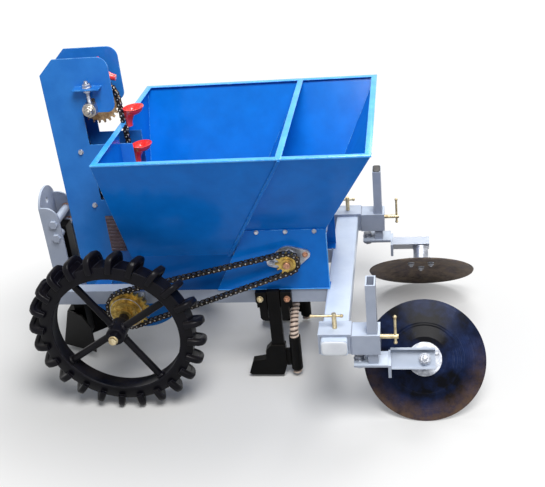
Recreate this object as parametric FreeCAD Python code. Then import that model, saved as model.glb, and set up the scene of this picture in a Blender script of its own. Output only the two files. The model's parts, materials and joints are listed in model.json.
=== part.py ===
import FreeCAD, Part

import math
import os

# A single-row potato planter for a small tractor.
# Machine frame, millimetres: +X is rearward, +Y is the machine's right side, +Z is up.
# The pieces are made with X measured from the wheel axle and the floor at Z = 0.
# At the end all of them are shifted along X, so that the origin is the bottom centre of the machine.

V = FreeCAD.Vector
AXIS_X = V(1, 0, 0)
AXIS_Y = V(0, 1, 0)
AXIS_Z = V(0, 0, 1)

# ---------------------------------------------------------------- driving dimensions
# Clearances
seat_gap = 0.3
running_clearance = 0.05
sheet_slot_clearance = 0.5

# Lugged steel wheels and their axle
lug_tip_radius = 255.6
lug_count = 24
lug_thickness = 9.0
lug_width = 60.0
lug_twist_deg = 18.0
cheek_thickness = 6.0
cheek_width = 16.0
cheek_inner_radius = 199.0
cheek_outer_radius = 249.0
lug_root_sink = 4.0
rim_outer_radius = 212.0
rim_inner_radius = 182.0
rim_width = 50.0
wheel_centre_y = 277.0
spoke_count = 4
spoke_radius = 10.5
spoke_phase_deg = 33.0
hub_radius = 27.0
hub_length = 64.0
axle_radius = 15.0
axle_nut_radius = 19.0
axle_nut_width = 14.0
axle_bearing_radius = 32.0
axle_bearing_width = 16.0
bearing_flange = 8.0
bearing_flange_reach = 48.0

# Frame of rectangular tube
rail_outer_y = 130.0
rail_width = 40.0
tube_height = 45.0
tube_wall = 4.0
frame_top_z = 296.0
hitch_depth = 55.0
front_member_gap = 1.0
front_member_depth = 36.0
crossbar_front_x = 588.0
crossbar_depth = 70.0
crossbar_half_length = 395.0
axle_notch_clearance = 5.0

# Hitch channel, open to the rear
hitch_half_width = 60.0
hitch_plate = 6.0
hitch_flange_top_z = 540.0
hitch_web_top_z = 582.0
hitch_corner_radius = 38.0
hitch_hole_radius = 8.5
hitch_hole_spacing = 60.0
hitch_hole_mid_z = 510.0

# Sheet-metal hoppers
rim_top_z = 776.0
rim_flange = 15.0
sheet = 3.0
hopper_half_width = 300.0
hopper_front_x = 27.0
divider_top_x = 516.0
hopper_rear_x = 737.0
potato_floor_z = 297.0
potato_floor_half_width = 75.0
potato_floor_rear_x = 266.0
fertilizer_neck_z = 490.0
fertilizer_neck_half_width = 130.0
fertilizer_neck_rear_x = 597.0
collar_height = 20.0
support_plate = 5.0
trough_radius = 34.0
trough_half_length = 112.0
trough_mouth_rise = 24.0
rotor_radius = 26.0
rotor_width = 40.0
rotor_flutes = 8
flute_radius = 6.0
hose_rail_gap = 4.0
spout_length = 26.0

# Roller chains and sprockets
pitch = 15.875
roller_radius = 5.0
roller_sides = 6
chain_inner_width = 9.6
link_plate = 2.0
outer_link_half_height = 7.2
inner_link_half_height = 6.4
sprocket_thickness = 8.4
tooth_height = 3.4
drive_teeth = 24
shaft_teeth = 12
elevator_teeth = 24
drive_span_pitches = 32
elevator_span_pitches = 37
drive_chain_y = -165.0
drive_chain_rise_deg = 16.8
elevator_lean = 30.0

# Seed cups
cup_every_links = 7
cup_first_link = 5
cup_sides = 12
cup_rim_radius = 28.0
cup_tip_radius = 8.0
cup_length = 54.0
cup_hollow = 28.0
cup_hollow_floor_radius = 11.0
cup_wall = 2.4
cup_rim_ahead = 4.0
cup_cover_gap = 4.6425

# Cup elevator housing
elevator_half_width = 50.0
elevator_top_z = 981.0
elevator_chamfer = 43.0
elevator_rear_x = 65.0
head_rear_x = 52.0
head_bottom_z = 826.0
head_top_corner_radius = 30.0
head_low_corner_radius = 24.0
window_front_x = -60.0
upper_window_bottom_z = 731.0
lower_window_bottom_z = 558.0
lower_window_top_z = 650.0
lower_window_rear_x = 20.0
cover_bottom_z = 215.0
boot_radius = 140.0
boot_open_deg = 245.0
bracket_length = 50.0
bracket_plate = 4.0
take_up_travel = 26.0
take_up_block = 15.0
take_up_width = 21.0
take_up_rod_radius = 5.0
ledge_width = 30.0
ledge_length = 76.0
ledge_z = 898.0

# Fertilizer shaft and elevator head shaft
fertilizer_shaft_radius = 10.0
head_shaft_radius = 10.0
shaft_bearing_radius = 26.0
flange_round_radius = 38.0
flange_bolt_reach = 50.0
flange_ear_radius = 14.0
flange_turn_deg = 14.0
flange_plate = 7.0
shaft_bearing_width = 14.0
shaft_hole_clearance = 3.0

# Ridging discs
disc_radius = 168.0
disc_thickness = 4.0
disc_dish = 26.0
disc_flat_radius = 62.0
left_disc_tilt_deg = 38.0
right_disc_tilt_deg = 45.0
disc_centre_x = 857.0
disc_centre_y = 270.0
disc_flange_radius = 47.0
disc_flange_thickness = 6.0
disc_hub_radius = 24.0
disc_hub_length = 56.0
stub_radius = 8.0
arm_height = 58.0
arm_thickness = 6.0
arm_lip = 19.0
arm_end = 28.0
washer_radius = 18.0
washer_thickness = 3.0
arm_front_x = 766.0
arm_plate = 6.0
toe_bolt_radius = 7.0
toe_bolt_x = 684.0
foot_front_x = 670.0
foot_rear_x = 760.0
foot_plate = 6.0
post_front_x = 709.0
post_depth = 26.0
post_width = 50.0
post_centre_y = 341.0
post_wall = 4.0
post_length = 244.0
post_bottom_z = 205.0
socket_wall = 6.5
socket_bottom_z = 240.0
socket_height = 60.0
socket_clearance = 0.6
sleeve_wall = 8.0
sleeve_clearance = 0.4
gusset_plate = 6.0
screw_radius = 6.0
handle_radius = 3.5
handle_half_length = 40.0

# Soil openers
shank_width = 46.0
shank_depth = 34.0
shank_top_z = 461.0
share_half_width = 75.0
share_plate = 6.0
share_tip_ahead = 107.0
share_rear_behind = 29.0
share_top_z = 161.0
share_bottom_z = 14.0
shank_bolt_radius = 8.0
opener_x = 432.0
opener_shank_depth = 36.0
opener_shank_thickness = 16.0
opener_base = 6.0
opener_base_height = 60.0
opener_ear_taper = 9.0
opener_ear_width = 34.0
opener_ear_height = 95.0
opener_ear_thickness = 14.0
opener_boot_nose_x = 337.0
opener_boot_height = 51.0
opener_boot_heel_height = 106.0
opener_boot_width = 26.0
opener_floor_gap = 9.0
drop_tube_radius = 17.0
drop_tube_length = 114.0
drop_tube_low_z = 27.0
hose_end_z = 13.0
hose_radius = 14.0
hose_bend_radius = 42.0

# ---------------------------------------------------------------- derived places
half_lug_angle = math.pi / lug_count
lug_tip_half = (lug_thickness * math.cos(math.radians(lug_twist_deg))
                + lug_width * math.sin(math.radians(lug_twist_deg))) / 2
axle_z = lug_tip_radius * math.cos(half_lug_angle) + lug_tip_half * math.sin(half_lug_angle)


def pitch_radius(teeth):
    """Radius of the circle on which the chain's rollers lie."""
    return pitch / (2 * math.sin(math.pi / teeth))


drive_radius_step = pitch_radius(drive_teeth) - pitch_radius(shaft_teeth)
drive_centre_distance = math.sqrt((drive_span_pitches * pitch) ** 2 - drive_radius_step ** 2)
shaft_x = drive_centre_distance * math.cos(math.radians(drive_chain_rise_deg))
shaft_z = axle_z + drive_centre_distance * math.sin(math.radians(drive_chain_rise_deg))
elevator_distance = elevator_span_pitches * pitch
head_x = -elevator_lean
head_z = axle_z + math.sqrt(elevator_distance ** 2 - elevator_lean ** 2)
elevator_line_deg = math.degrees(math.atan2(head_z - axle_z, head_x))

rail_inner_y = rail_outer_y - rail_width
outlet_y = rail_inner_y - hose_radius - hose_rail_gap
cup_reach = outer_link_half_height + seat_gap + cup_rim_radius * (1 + math.cos(math.pi / cup_sides))
elevator_front_x = head_x - pitch_radius(elevator_teeth) - cup_reach - cup_cover_gap - sheet
front_member_x = elevator_front_x - front_member_gap - front_member_depth
rail_front_x = front_member_x - hitch_depth
share_tip_x = front_member_x - share_tip_ahead
share_rear_x = front_member_x + share_rear_behind
rail_bottom_z = frame_top_z - tube_height
crossbar_rear_x = crossbar_front_x + crossbar_depth
plate_inner_y = elevator_half_width - sheet
wheel_hub_end = wheel_centre_y + hub_length / 2
trough_mouth_z = shaft_z + trough_mouth_rise
socket_half_width = post_width / 2 + socket_clearance + socket_wall
post_rear_x = post_front_x + post_depth
socket_rear_x = post_rear_x + socket_clearance + socket_wall
sleeve_top_z = frame_top_z + sleeve_clearance + sleeve_wall
panel_outer_y = fertilizer_neck_half_width + sheet
opener_y = rail_outer_y + opener_base + opener_shank_thickness / 2
drop_tube_x = opener_x + opener_shank_depth / 2 + drop_tube_radius + 15.0


def divider_x(z):
    """Rear face of the sloping divider between the two hoppers, at height z."""
    fall = (rim_top_z - z) / (rim_top_z - potato_floor_z)
    return divider_top_x + (potato_floor_rear_x - divider_top_x) * fall


def potato_half_width(z):
    """Outer half width of the potato hopper at height z."""
    rise = (z - potato_floor_z) / (rim_top_z - potato_floor_z)
    return potato_floor_half_width + (hopper_half_width - potato_floor_half_width) * rise


def fertilizer_half_width(z):
    """Outer half width of the fertilizer hopper at height z."""
    rise = (z - fertilizer_neck_z) / (rim_top_z - fertilizer_neck_z)
    return fertilizer_neck_half_width + (hopper_half_width - fertilizer_neck_half_width) * rise


def fertilizer_rear_x(z):
    """Rear face of the fertilizer hopper at height z."""
    rise = (z - fertilizer_neck_z) / (rim_top_z - fertilizer_neck_z)
    return fertilizer_neck_rear_x + (hopper_rear_x - fertilizer_neck_rear_x) * rise


# ---------------------------------------------------------------- small helpers
nodes = {}


def box(x0, x1, y0, y1, z0, z1):
    return Part.makeBox(x1 - x0, y1 - y0, z1 - z0, V(x0, y0, z0))


def rod(start, end, radius):
    axis = end - start
    return Part.makeCylinder(radius, axis.Length, start, axis)


def rod_y(x, z, y0, y1, radius):
    return Part.makeCylinder(radius, y1 - y0, V(x, y0, z), AXIS_Y)


def prism(points, travel):
    """A closed outline of 3-D points, swept straight along a vector."""
    return Part.Face(Part.makePolygon(points + points[:1])).extrude(travel)


def prism_x(points, x0, x1):
    return prism([V(x0, y, z) for y, z in points], V(x1 - x0, 0, 0))


def prism_y(points, y0, y1):
    return prism([V(x, y0, z) for x, z in points], V(0, y1 - y0, 0))


def prism_z(points, z0, z1):
    return prism([V(x, y, z0) for x, y in points], V(0, 0, z1 - z0))


def fuse_all(shapes):
    return shapes[0].multiFuse(shapes[1:]).removeSplitter()


def mirrored(shape):
    """The same piece on the other side of the machine's centre plane."""
    return shape.mirror(V(0, 0, 0), AXIS_Y)


def both_sides(name, shape):
    """Store a piece of the right side and its mirror image on the left."""
    nodes["right_" + name] = shape
    nodes["left_" + name] = mirrored(shape)


def rectangle(x0, x1, half_width, z):
    return [V(x0, -half_width, z), V(x1, -half_width, z), V(x1, half_width, z), V(x0, half_width, z)]


def flat_loft(low, high):
    """Flat-faced solid between two rings of points whose matching edges are parallel."""
    rings = [low, high] + [[low[k - 1], low[k], high[k], high[k - 1]] for k in range(len(low))]
    faces = [Part.Face(Part.makePolygon(ring + ring[:1])) for ring in rings]
    solid = Part.Solid(Part.makeShell(faces))
    return solid if solid.Volume > 0 else solid.reversed()


def funnel(low, high):
    """Solid between two level rectangles (x0, x1, half width, z)."""
    return flat_loft(rectangle(*low), rectangle(*high))


def rounded_corners(shape, corners, radius):
    """Round the edges that run along Y through the (x, z) corners given."""
    chosen = []
    for edge in shape.Edges:
        box_of_edge = edge.BoundBox
        for x, z in corners:
            if (abs(box_of_edge.XMin - x) < 0.01 and abs(box_of_edge.XMax - x) < 0.01
                    and abs(box_of_edge.ZMin - z) < 0.01 and abs(box_of_edge.ZMax - z) < 0.01):
                chosen.append(edge)
    return shape.makeFillet(radius, chosen)


def hexagon(x, z, radius):
    return [(x + radius * math.cos(math.radians(60 * k)), z + radius * math.sin(math.radians(60 * k)))
            for k in range(6)]


# ---------------------------------------------------------------- wheels and axle
def make_lug(index):
    """Cross bar over the rim with both ends folded down its sides; the bars lean in turn."""
    side = 1 if index % 2 == 0 else -1
    bar = box(-lug_thickness / 2, lug_thickness / 2, -lug_width / 2, lug_width / 2,
              rim_outer_radius - lug_root_sink, lug_tip_radius)
    bar.rotate(V(0, 0, 0), AXIS_Z, side * lug_twist_deg)
    outer = lug_width / 2 + 0.5
    across = (outer - cheek_thickness / 2) * math.sin(math.radians(lug_twist_deg))
    pieces = [bar]
    for end in (-1, 1):
        middle = -end * side * across
        y0, y1 = sorted((end * (outer - cheek_thickness), end * outer))
        pieces.append(box(middle - cheek_width / 2, middle + cheek_width / 2, y0, y1, cheek_inner_radius,
                          cheek_outer_radius))
    lug = fuse_all(pieces)
    lug.rotate(V(0, 0, 0), AXIS_Y, 180 + (index + 0.5) * 360.0 / lug_count)
    return lug


def make_wheels():
    """Rolled rim, hub, four tube spokes and the lugs; two lugs stand on the floor."""
    rim = rod_y(0, 0, -rim_width / 2, rim_width / 2, rim_outer_radius)
    rim = rim.cut(rod_y(0, 0, -rim_width, rim_width, rim_inner_radius))
    hub = rod_y(0, 0, -hub_length / 2, hub_length / 2, hub_radius)
    spokes = []
    for index in range(spoke_count):
        angle = math.radians(spoke_phase_deg + index * 360.0 / spoke_count)
        reach = (rim_inner_radius + rim_outer_radius) / 2
        spokes.append(rod(V(0, 0, 0), V(reach * math.cos(angle), 0, reach * math.sin(angle)), spoke_radius))
    wheel = fuse_all([rim, hub] + spokes + [make_lug(index) for index in range(lug_count)])
    wheel = wheel.cut(rod_y(0, 0, -hub_length, hub_length, axle_radius + running_clearance))
    wheel.translate(V(0, wheel_centre_y, axle_z))
    both_sides("wheel", wheel)


def make_axle():
    """Straight shaft through both wheels, with a nut outside each hub."""
    end = wheel_hub_end + axle_nut_width
    shaft = rod_y(0, axle_z, -end, end, axle_radius)
    nut = prism_y(hexagon(0, axle_z, axle_nut_radius), wheel_hub_end, end)
    nodes["wheel_axle"] = fuse_all([shaft, nut, mirrored(nut)])


def make_axle_bearings():
    """Flange bearings on the outer faces of the rails."""
    for_rail = box(-bearing_flange_reach, bearing_flange_reach, rail_outer_y, rail_outer_y + bearing_flange,
                   rail_bottom_z, frame_top_z)
    housing = rod_y(0, axle_z, rail_outer_y, rail_outer_y + axle_bearing_width, axle_bearing_radius)
    bearing = fuse_all([for_rail, housing])
    bearing = bearing.cut(rod_y(0, axle_z, 0, wheel_centre_y, axle_radius + running_clearance))
    both_sides("axle_bearing", bearing)


# ---------------------------------------------------------------- frame and hitch
def tube_along_x(x0, x1, y0, y1):
    outer = box(x0, x1, y0, y1, rail_bottom_z, frame_top_z)
    hollow = box(x0, x1, y0 + tube_wall, y1 - tube_wall, rail_bottom_z + tube_wall, frame_top_z - tube_wall)
    return outer.cut(hollow)


def tube_along_y(x0, x1, y0, y1):
    outer = box(x0, x1, y0, y1, rail_bottom_z, frame_top_z)
    hollow = box(x0 + tube_wall, x1 - tube_wall, y0, y1, rail_bottom_z + tube_wall, frame_top_z - tube_wall)
    return outer.cut(hollow)


def make_frame():
    """Two rails, the front member between them and the closed crossbar behind them."""
    rail = tube_along_x(rail_front_x, crossbar_front_x, rail_inner_y, rail_outer_y)
    rail = rail.cut(rod_y(0, axle_z, 0, wheel_centre_y, axle_radius + axle_notch_clearance))
    both_sides("rail", rail)
    member_rear = front_member_x + front_member_depth
    nodes["front_crossmember"] = tube_along_y(front_member_x, member_rear, -rail_inner_y, rail_inner_y)
    inner_end = crossbar_half_length - tube_wall
    bar = box(crossbar_front_x, crossbar_rear_x, -crossbar_half_length, crossbar_half_length, rail_bottom_z,
              frame_top_z)
    nodes["rear_crossbar"] = bar.cut(box(crossbar_front_x + tube_wall, crossbar_rear_x - tube_wall, -inner_end,
                                         inner_end, rail_bottom_z + tube_wall, frame_top_z - tube_wall))


def make_hitch():
    """Upright channel whose flanges are welded to the front member."""
    z0 = rail_bottom_z
    low = [V(rail_front_x, -hitch_half_width, hitch_flange_top_z), V(rail_front_x, -hitch_half_width, z0),
           V(rail_front_x, hitch_half_width, z0), V(rail_front_x, hitch_half_width, hitch_flange_top_z)]
    crown = Part.Arc(low[3], V(rail_front_x, 0, hitch_web_top_z), low[0]).toShape()
    web = Part.Face(Part.Wire([Part.makePolygon(low).Edges[0], Part.makePolygon(low).Edges[1],
                               Part.makePolygon(low).Edges[2], crown])).extrude(V(hitch_plate, 0, 0))
    flange = box(rail_front_x, front_member_x, hitch_half_width - hitch_plate, hitch_half_width, z0,
                 hitch_flange_top_z)
    flange = rounded_corners(flange, [(front_member_x, hitch_flange_top_z)], hitch_corner_radius)
    channel = fuse_all([web, flange, mirrored(flange)])
    for side in (-0.5, 0.5):
        z = hitch_hole_mid_z + side * hitch_hole_spacing
        channel = channel.cut(Part.makeCylinder(hitch_hole_radius, hitch_plate * 3,
                                                V(rail_front_x - hitch_plate, 0, z), AXIS_X))
    for x, z in shank_bolt_places():
        channel = channel.cut(rod_y(x, z, -100, 100, shank_bolt_radius + running_clearance))
    nodes["hitch_channel"] = channel


# ---------------------------------------------------------------- soil openers
def shank_bolt_places():
    middle = front_member_x - seat_gap - shank_depth / 2
    return [(middle, shank_top_z - 18.0), (middle, shank_top_z + 27.0)]


def make_furrow_opener():
    """Shank held in the hitch channel, with a V-shaped share in front of the elevator."""
    rear = front_member_x - seat_gap
    half = shank_width / 2
    shank = box(rear - shank_depth, rear, -half, half, share_bottom_z + 50.0, shank_top_z)
    wedge = [(share_tip_x, 0), (share_rear_x, share_half_width), (share_rear_x, -share_half_width)]
    back_off = share_plate / math.sin(math.atan2(share_half_width, share_rear_x - share_tip_x))
    hollow = [(x + back_off, y) for x, y in wedge]
    share = prism_z(wedge, share_bottom_z, share_top_z).cut(prism_z(hollow, 0, share_top_z + 1))
    core = prism_z(wedge, share_bottom_z + 50.0, share_top_z)
    core = core.common(box(share_tip_x, rear, -half, half, 0, share_top_z))
    rake = [(share_tip_x, share_bottom_z), (share_rear_x, share_bottom_z + 20.0),
            (share_rear_x, share_top_z - 35.0), (share_rear_x - 30.0, share_top_z),
            (share_tip_x + 50.0, share_top_z)]
    cutter = prism_y(rake, -share_half_width, share_half_width)
    opener = fuse_all([share.common(cutter), core.common(cutter), shank])
    x, z = shank_bolt_places()[0]
    nodes["furrow_opener"] = opener.cut(rod_y(x, z, -100, 100, shank_bolt_radius + running_clearance))


def make_shank_bolts():
    """Cross bolts of the hitch channel; spacers keep the shank in the middle."""
    bolts = []
    end = hitch_half_width + 10.0
    for x, z in shank_bolt_places():
        spacer_start = shank_width / 2 + seat_gap if z < shank_top_z else 0.0
        spacer_end = hitch_half_width - hitch_plate - seat_gap
        pieces = [rod_y(x, z, -end, end, shank_bolt_radius)]
        for start, stop in ((spacer_start, spacer_end), (-spacer_end, -spacer_start)):
            pieces.append(rod_y(x, z, start, stop, shank_bolt_radius + 4.0))
        for start in (hitch_half_width + seat_gap, -end):
            pieces.append(prism_y(hexagon(x, z, shank_bolt_radius + 5.0), start, start + 10.0 - seat_gap))
        bolts.append(fuse_all(pieces))
    nodes["shank_bolts"] = Part.makeCompound(bolts)


def opener_ear(inner, outward, y0):
    """Tapered clamping ear beside the shank; outward is -1 in front of it and 1 behind."""
    low = frame_top_z - opener_ear_height
    outer = inner + outward * (opener_ear_width - 3.0)
    waist = outer - outward * opener_ear_taper
    outline = [(inner, frame_top_z), (outer, frame_top_z), (outer, frame_top_z - 32.0),
               (waist, frame_top_z - 48.0), (waist, low + 8.0), (waist - outward * 6.0, low), (inner, low)]
    return prism_y(outline, y0, y0 + opener_ear_thickness)


def make_fertilizer_openers():
    """Clamp plate on the rail, shank between two ears, boot, and a drop tube behind the shank."""
    x0 = opener_x - opener_shank_depth / 2
    x1 = opener_x + opener_shank_depth / 2
    y0 = rail_outer_y + opener_base
    base = box(x0 - opener_ear_width, x1 + opener_ear_width, rail_outer_y, y0, frame_top_z - opener_base_height,
               frame_top_z)
    ears = [opener_ear(x0 - 3.0, -1, y0), opener_ear(x1 + 3.0, 1, y0)]
    shank = box(x0, x1, y0, y0 + opener_shank_thickness, opener_floor_gap + 30.0, frame_top_z + 4.0)
    nose = opener_boot_nose_x
    top = opener_floor_gap + opener_boot_height
    heel = opener_floor_gap + opener_boot_heel_height
    outline = [(nose, opener_floor_gap + 6.0), (nose + 8.0, opener_floor_gap), (x1 - 8.0, opener_floor_gap),
               (x1 + 3.0, opener_floor_gap + 34.0), (x1 + 3.0, heel), (x0 - 4.0, heel), (x0 - 20.0, heel - 18.0),
               (x0 - 22.0, top + 6.0), (nose + 14.0, top - 2.0)]
    boot = prism_y(outline, opener_y - opener_boot_width / 2, opener_y + opener_boot_width / 2)
    tube_low = drop_tube_low_z
    web = box(x1 - 1.0, drop_tube_x, opener_y - 3.0, opener_y + 3.0, tube_low + 10.0, tube_low + 70.0)
    tube = Part.makeCylinder(drop_tube_radius, drop_tube_length, V(drop_tube_x, opener_y, tube_low), AXIS_Z)
    opener = fuse_all([base, shank, boot, web, tube] + ears)
    bore = Part.makeCylinder(hose_radius + seat_gap, drop_tube_length, V(drop_tube_x, opener_y, tube_low), AXIS_Z)
    both_sides("fertilizer_opener", opener.cut(bore))


def make_hoses():
    """Hose from a metering outlet, round under the rail and down through the drop tube."""
    route = [V(shaft_x, outlet_y, trough_bottom_z() - 4.0), V(shaft_x, outlet_y, rail_bottom_z - 28.0),
             V(drop_tube_x, opener_y, drop_tube_low_z + drop_tube_length + 34.0),
             V(drop_tube_x, opener_y, hose_end_z)]
    edges = []
    start = route[0]
    for before, corner, after in zip(route, route[1:], route[2:]):
        back = (before - corner).normalize()
        ahead = (after - corner).normalize()
        half_turn = (math.pi - back.getAngle(ahead)) / 2
        reach = hose_bend_radius * math.tan(half_turn)
        bisector = (back + ahead).normalize()
        middle = corner + bisector * (hose_bend_radius / math.cos(half_turn) - hose_bend_radius)
        edges.append(Part.LineSegment(start, corner + back * reach).toShape())
        edges.append(Part.Arc(corner + back * reach, middle, corner + ahead * reach).toShape())
        start = corner + ahead * reach
    edges.append(Part.LineSegment(start, route[-1]).toShape())
    path = Part.Wire(edges)
    section = Part.Wire(Part.makeCircle(hose_radius, route[0], V(0, 0, -1)))
    hose = path.makePipeShell([section], True, False)
    print("hose volume / (section x length):", round(hose.Volume / (math.pi * hose_radius ** 2 * path.Length), 4),
          "bend radius", hose_bend_radius)
    both_sides("fertilizer_hose", hose)


# ---------------------------------------------------------------- hoppers
def potato_level(z, inset):
    """Level rectangle of the potato hopper, inside its walls by an inset."""
    return (hopper_front_x + inset, divider_x(z) - inset * 1.13, potato_half_width(z) - inset * 1.12, z)


def make_potato_hopper():
    """Tapering bin with an inward rim; its sloping rear wall is the divider."""
    outer = funnel(potato_level(potato_floor_z, 0), potato_level(rim_top_z, 0))
    hollow = funnel(potato_level(potato_floor_z + sheet, sheet), potato_level(rim_top_z - sheet, sheet))
    mouth = box(hopper_front_x + rim_flange, divider_top_x - rim_flange, rim_flange - hopper_half_width,
                hopper_half_width - rim_flange, rim_top_z - 2 * sheet, rim_top_z + 1)
    slot_half = elevator_half_width + sheet_slot_clearance
    front_slot = box(hopper_front_x - 1, hopper_front_x + rim_flange + 1, -slot_half, slot_half,
                     potato_floor_z - 1, rim_top_z + 1)
    floor_slot = box(hopper_front_x - 1, boot_radius + sheet_slot_clearance, -slot_half, slot_half,
                     potato_floor_z - 1, potato_floor_z + sheet + 1)
    nodes["potato_hopper"] = outer.cut(hollow).cut(mouth).cut(front_slot).cut(floor_slot)


def behind_divider(z0, z1, clearance):
    """Everything behind the divider's rear face between two heights."""
    outline = [(divider_x(z0) + clearance, z0), (2 * hopper_rear_x, z0), (2 * hopper_rear_x, z1),
               (divider_x(z1) + clearance, z1)]
    return prism_y(outline, -2 * hopper_half_width, 2 * hopper_half_width)


def make_fertilizer_hopper():
    """Side and rear walls that close against the divider, with a collar at the neck."""
    x_front = divider_x(fertilizer_neck_z) - 60.0
    z_collar = fertilizer_neck_z - collar_height
    half = fertilizer_neck_half_width
    outer = funnel((x_front, fertilizer_neck_rear_x, half, fertilizer_neck_z),
                   (x_front, hopper_rear_x, hopper_half_width, rim_top_z))
    hollow = funnel((x_front - 9, fertilizer_neck_rear_x - sheet * 1.12, half - sheet * 1.16, fertilizer_neck_z),
                    (x_front - 9, fertilizer_rear_x(rim_top_z - sheet) - sheet * 1.12,
                     fertilizer_half_width(rim_top_z - sheet) - sheet * 1.16, rim_top_z - sheet))
    mouth = box(x_front - 9, hopper_rear_x - rim_flange, rim_flange - hopper_half_width,
                hopper_half_width - rim_flange, rim_top_z - 2 * sheet, rim_top_z + 1)
    collar = box(x_front, fertilizer_neck_rear_x, -half, half, z_collar, fertilizer_neck_z)
    collar = collar.cut(box(x_front - 9, fertilizer_neck_rear_x - sheet, sheet - half, half - sheet, z_collar - 1,
                            fertilizer_neck_z + 1))
    shell = outer.cut(hollow).cut(mouth).fuse(collar)
    nodes["fertilizer_hopper"] = shell.common(behind_divider(z_collar, rim_top_z, 0)).removeSplitter()


def make_side_panels():
    """Upright panels that carry the fertilizer hopper on the rails, with a folded foot."""
    z1 = fertilizer_neck_z - seat_gap
    z0 = frame_top_z
    outline = [(divider_x(z0) + 2.0, z0), (fertilizer_neck_rear_x, z0), (fertilizer_neck_rear_x, z1),
               (divider_x(z1) + 2.0, z1)]
    panel = prism_y(outline, fertilizer_neck_half_width, panel_outer_y)
    foot = box(divider_x(z0) + 12.0, fertilizer_neck_rear_x, rail_inner_y + 8.0, panel_outer_y, z0, z0 + sheet)
    hole = rod_y(shaft_x, shaft_z, 0, wheel_centre_y, fertilizer_shaft_radius + shaft_hole_clearance)
    both_sides("side_panel", fuse_all([panel, foot]).cut(hole))


def make_hopper_supports():
    """Upright gussets between the rails and the potato hopper's sloping sides."""
    gussets = []
    low, high = rail_inner_y + 4.0, rail_outer_y - 2.0

    def wall_z(y):
        share = (y - potato_floor_half_width) / (hopper_half_width - potato_floor_half_width)
        return potato_floor_z + (rim_top_z - potato_floor_z) * share - seat_gap

    outline = [(low, frame_top_z), (high, frame_top_z), (high, wall_z(high)), (low, wall_z(low))]
    for x in (hopper_front_x + 20.0, potato_floor_rear_x - 30.0):
        gusset = prism_x(outline, x, x + support_plate)
        gussets += [gusset, mirrored(gusset)]
    nodes["hopper_supports"] = Part.makeCompound(gussets)


def trough_bottom_z():
    return shaft_z - trough_radius - sheet


def make_fertilizer_trough():
    """Funnel under the neck, a round-bottomed trough about the shaft, and two spouts."""
    z_top = fertilizer_neck_z - 4.0
    r_out = trough_radius + sheet
    half = fertilizer_neck_half_width - sheet - seat_gap
    rear = fertilizer_neck_rear_x - sheet - seat_gap
    front = divider_x(z_top - collar_height) + 2.0
    outer = funnel((shaft_x - r_out, shaft_x + r_out, trough_half_length + sheet, trough_mouth_z),
                   (front, rear, half, z_top))
    inner = funnel((shaft_x - trough_radius, shaft_x + trough_radius, trough_half_length, trough_mouth_z - 0.01),
                   (front + 2 * sheet, rear - 2 * sheet, half - sheet, z_top + 0.01))
    end = trough_half_length + sheet
    body = [rod_y(shaft_x, shaft_z, -end, end, r_out), box(shaft_x - r_out, shaft_x + r_out, -end, end, shaft_z,
                                                            trough_mouth_z), outer]
    hollow = [rod_y(shaft_x, shaft_z, -trough_half_length, trough_half_length, trough_radius),
              box(shaft_x - trough_radius, shaft_x + trough_radius, -trough_half_length, trough_half_length,
                  shaft_z, trough_mouth_z), inner]
    bores = []
    for y in (-outlet_y, outlet_y):
        low = trough_bottom_z() - spout_length
        body.append(Part.makeCylinder(hose_radius + seat_gap + sheet, spout_length + 8.0, V(shaft_x, y, low)))
        bores.append(Part.makeCylinder(hose_radius + seat_gap, spout_length + 30.0, V(shaft_x, y, low)))
    trough = fuse_all(body)
    for piece in hollow + bores:
        trough = trough.cut(piece)
    hole = rod_y(shaft_x, shaft_z, -end - 1, end + 1, fertilizer_shaft_radius + shaft_hole_clearance)
    trough = trough.cut(hole).common(behind_divider(0, z_top + 1, 1.0))
    nodes["fertilizer_trough"] = trough.removeSplitter()


# ---------------------------------------------------------------- roller chains and sprockets
def sprocket(x, z, y, teeth, first_gap_deg, hub_shapes, bore_radius):
    """Flat toothed wheel whose gaps seat the rollers, one gap at the angle given."""
    radius = pitch_radius(teeth)
    step = 2 * math.pi / teeth
    seat = roller_radius + seat_gap
    shoulder = seat * math.tan(math.pi / 8)
    half_tip = radius * step * 0.43
    profile = [(-seat, -shoulder), (-shoulder, -seat), (shoulder, -seat), (seat, -shoulder),
               (half_tip, tooth_height)]
    outline = []
    for tooth in range(teeth):
        gap = math.radians(first_gap_deg) + tooth * step
        for along, rise in [(-half_tip, tooth_height)] + profile:
            reach = radius + rise
            outline.append((x + reach * math.cos(gap) - along * math.sin(gap),
                            z + reach * math.sin(gap) + along * math.cos(gap)))
    plate = prism_y(outline, y - sprocket_thickness / 2, y + sprocket_thickness / 2)
    return fuse_all([plate] + hub_shapes).cut(rod_y(x, z, y - 200, y + 200, bore_radius))


def make_sprockets():
    y = drive_chain_y
    face = y - sprocket_thickness / 2
    hubs = [rod_y(0, axle_z, face - 16, face, 48), rod_y(0, axle_z, face - 30, face - 16, 39),
            rod_y(0, axle_z, face - 42, y + 13, 24)]
    nodes["drive_sprocket"] = sprocket(0, axle_z, y, drive_teeth, drive_chain_rise_deg, hubs,
                                       axle_radius + running_clearance)
    nodes["shaft_sprocket"] = sprocket(shaft_x, shaft_z, y, shaft_teeth, drive_chain_rise_deg,
                                       [rod_y(shaft_x, shaft_z, y - 10, y + 10, 17)],
                                       fertilizer_shaft_radius + running_clearance)
    nodes["elevator_lower_sprocket"] = sprocket(0, axle_z, 0, elevator_teeth, elevator_line_deg,
                                                [rod_y(0, axle_z, -24, 24, 26)], axle_radius + running_clearance)
    nodes["elevator_head_sprocket"] = sprocket(head_x, head_z, 0, elevator_teeth, elevator_line_deg,
                                               [rod_y(head_x, head_z, -22, 22, 20)],
                                               head_shaft_radius + running_clearance)


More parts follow.
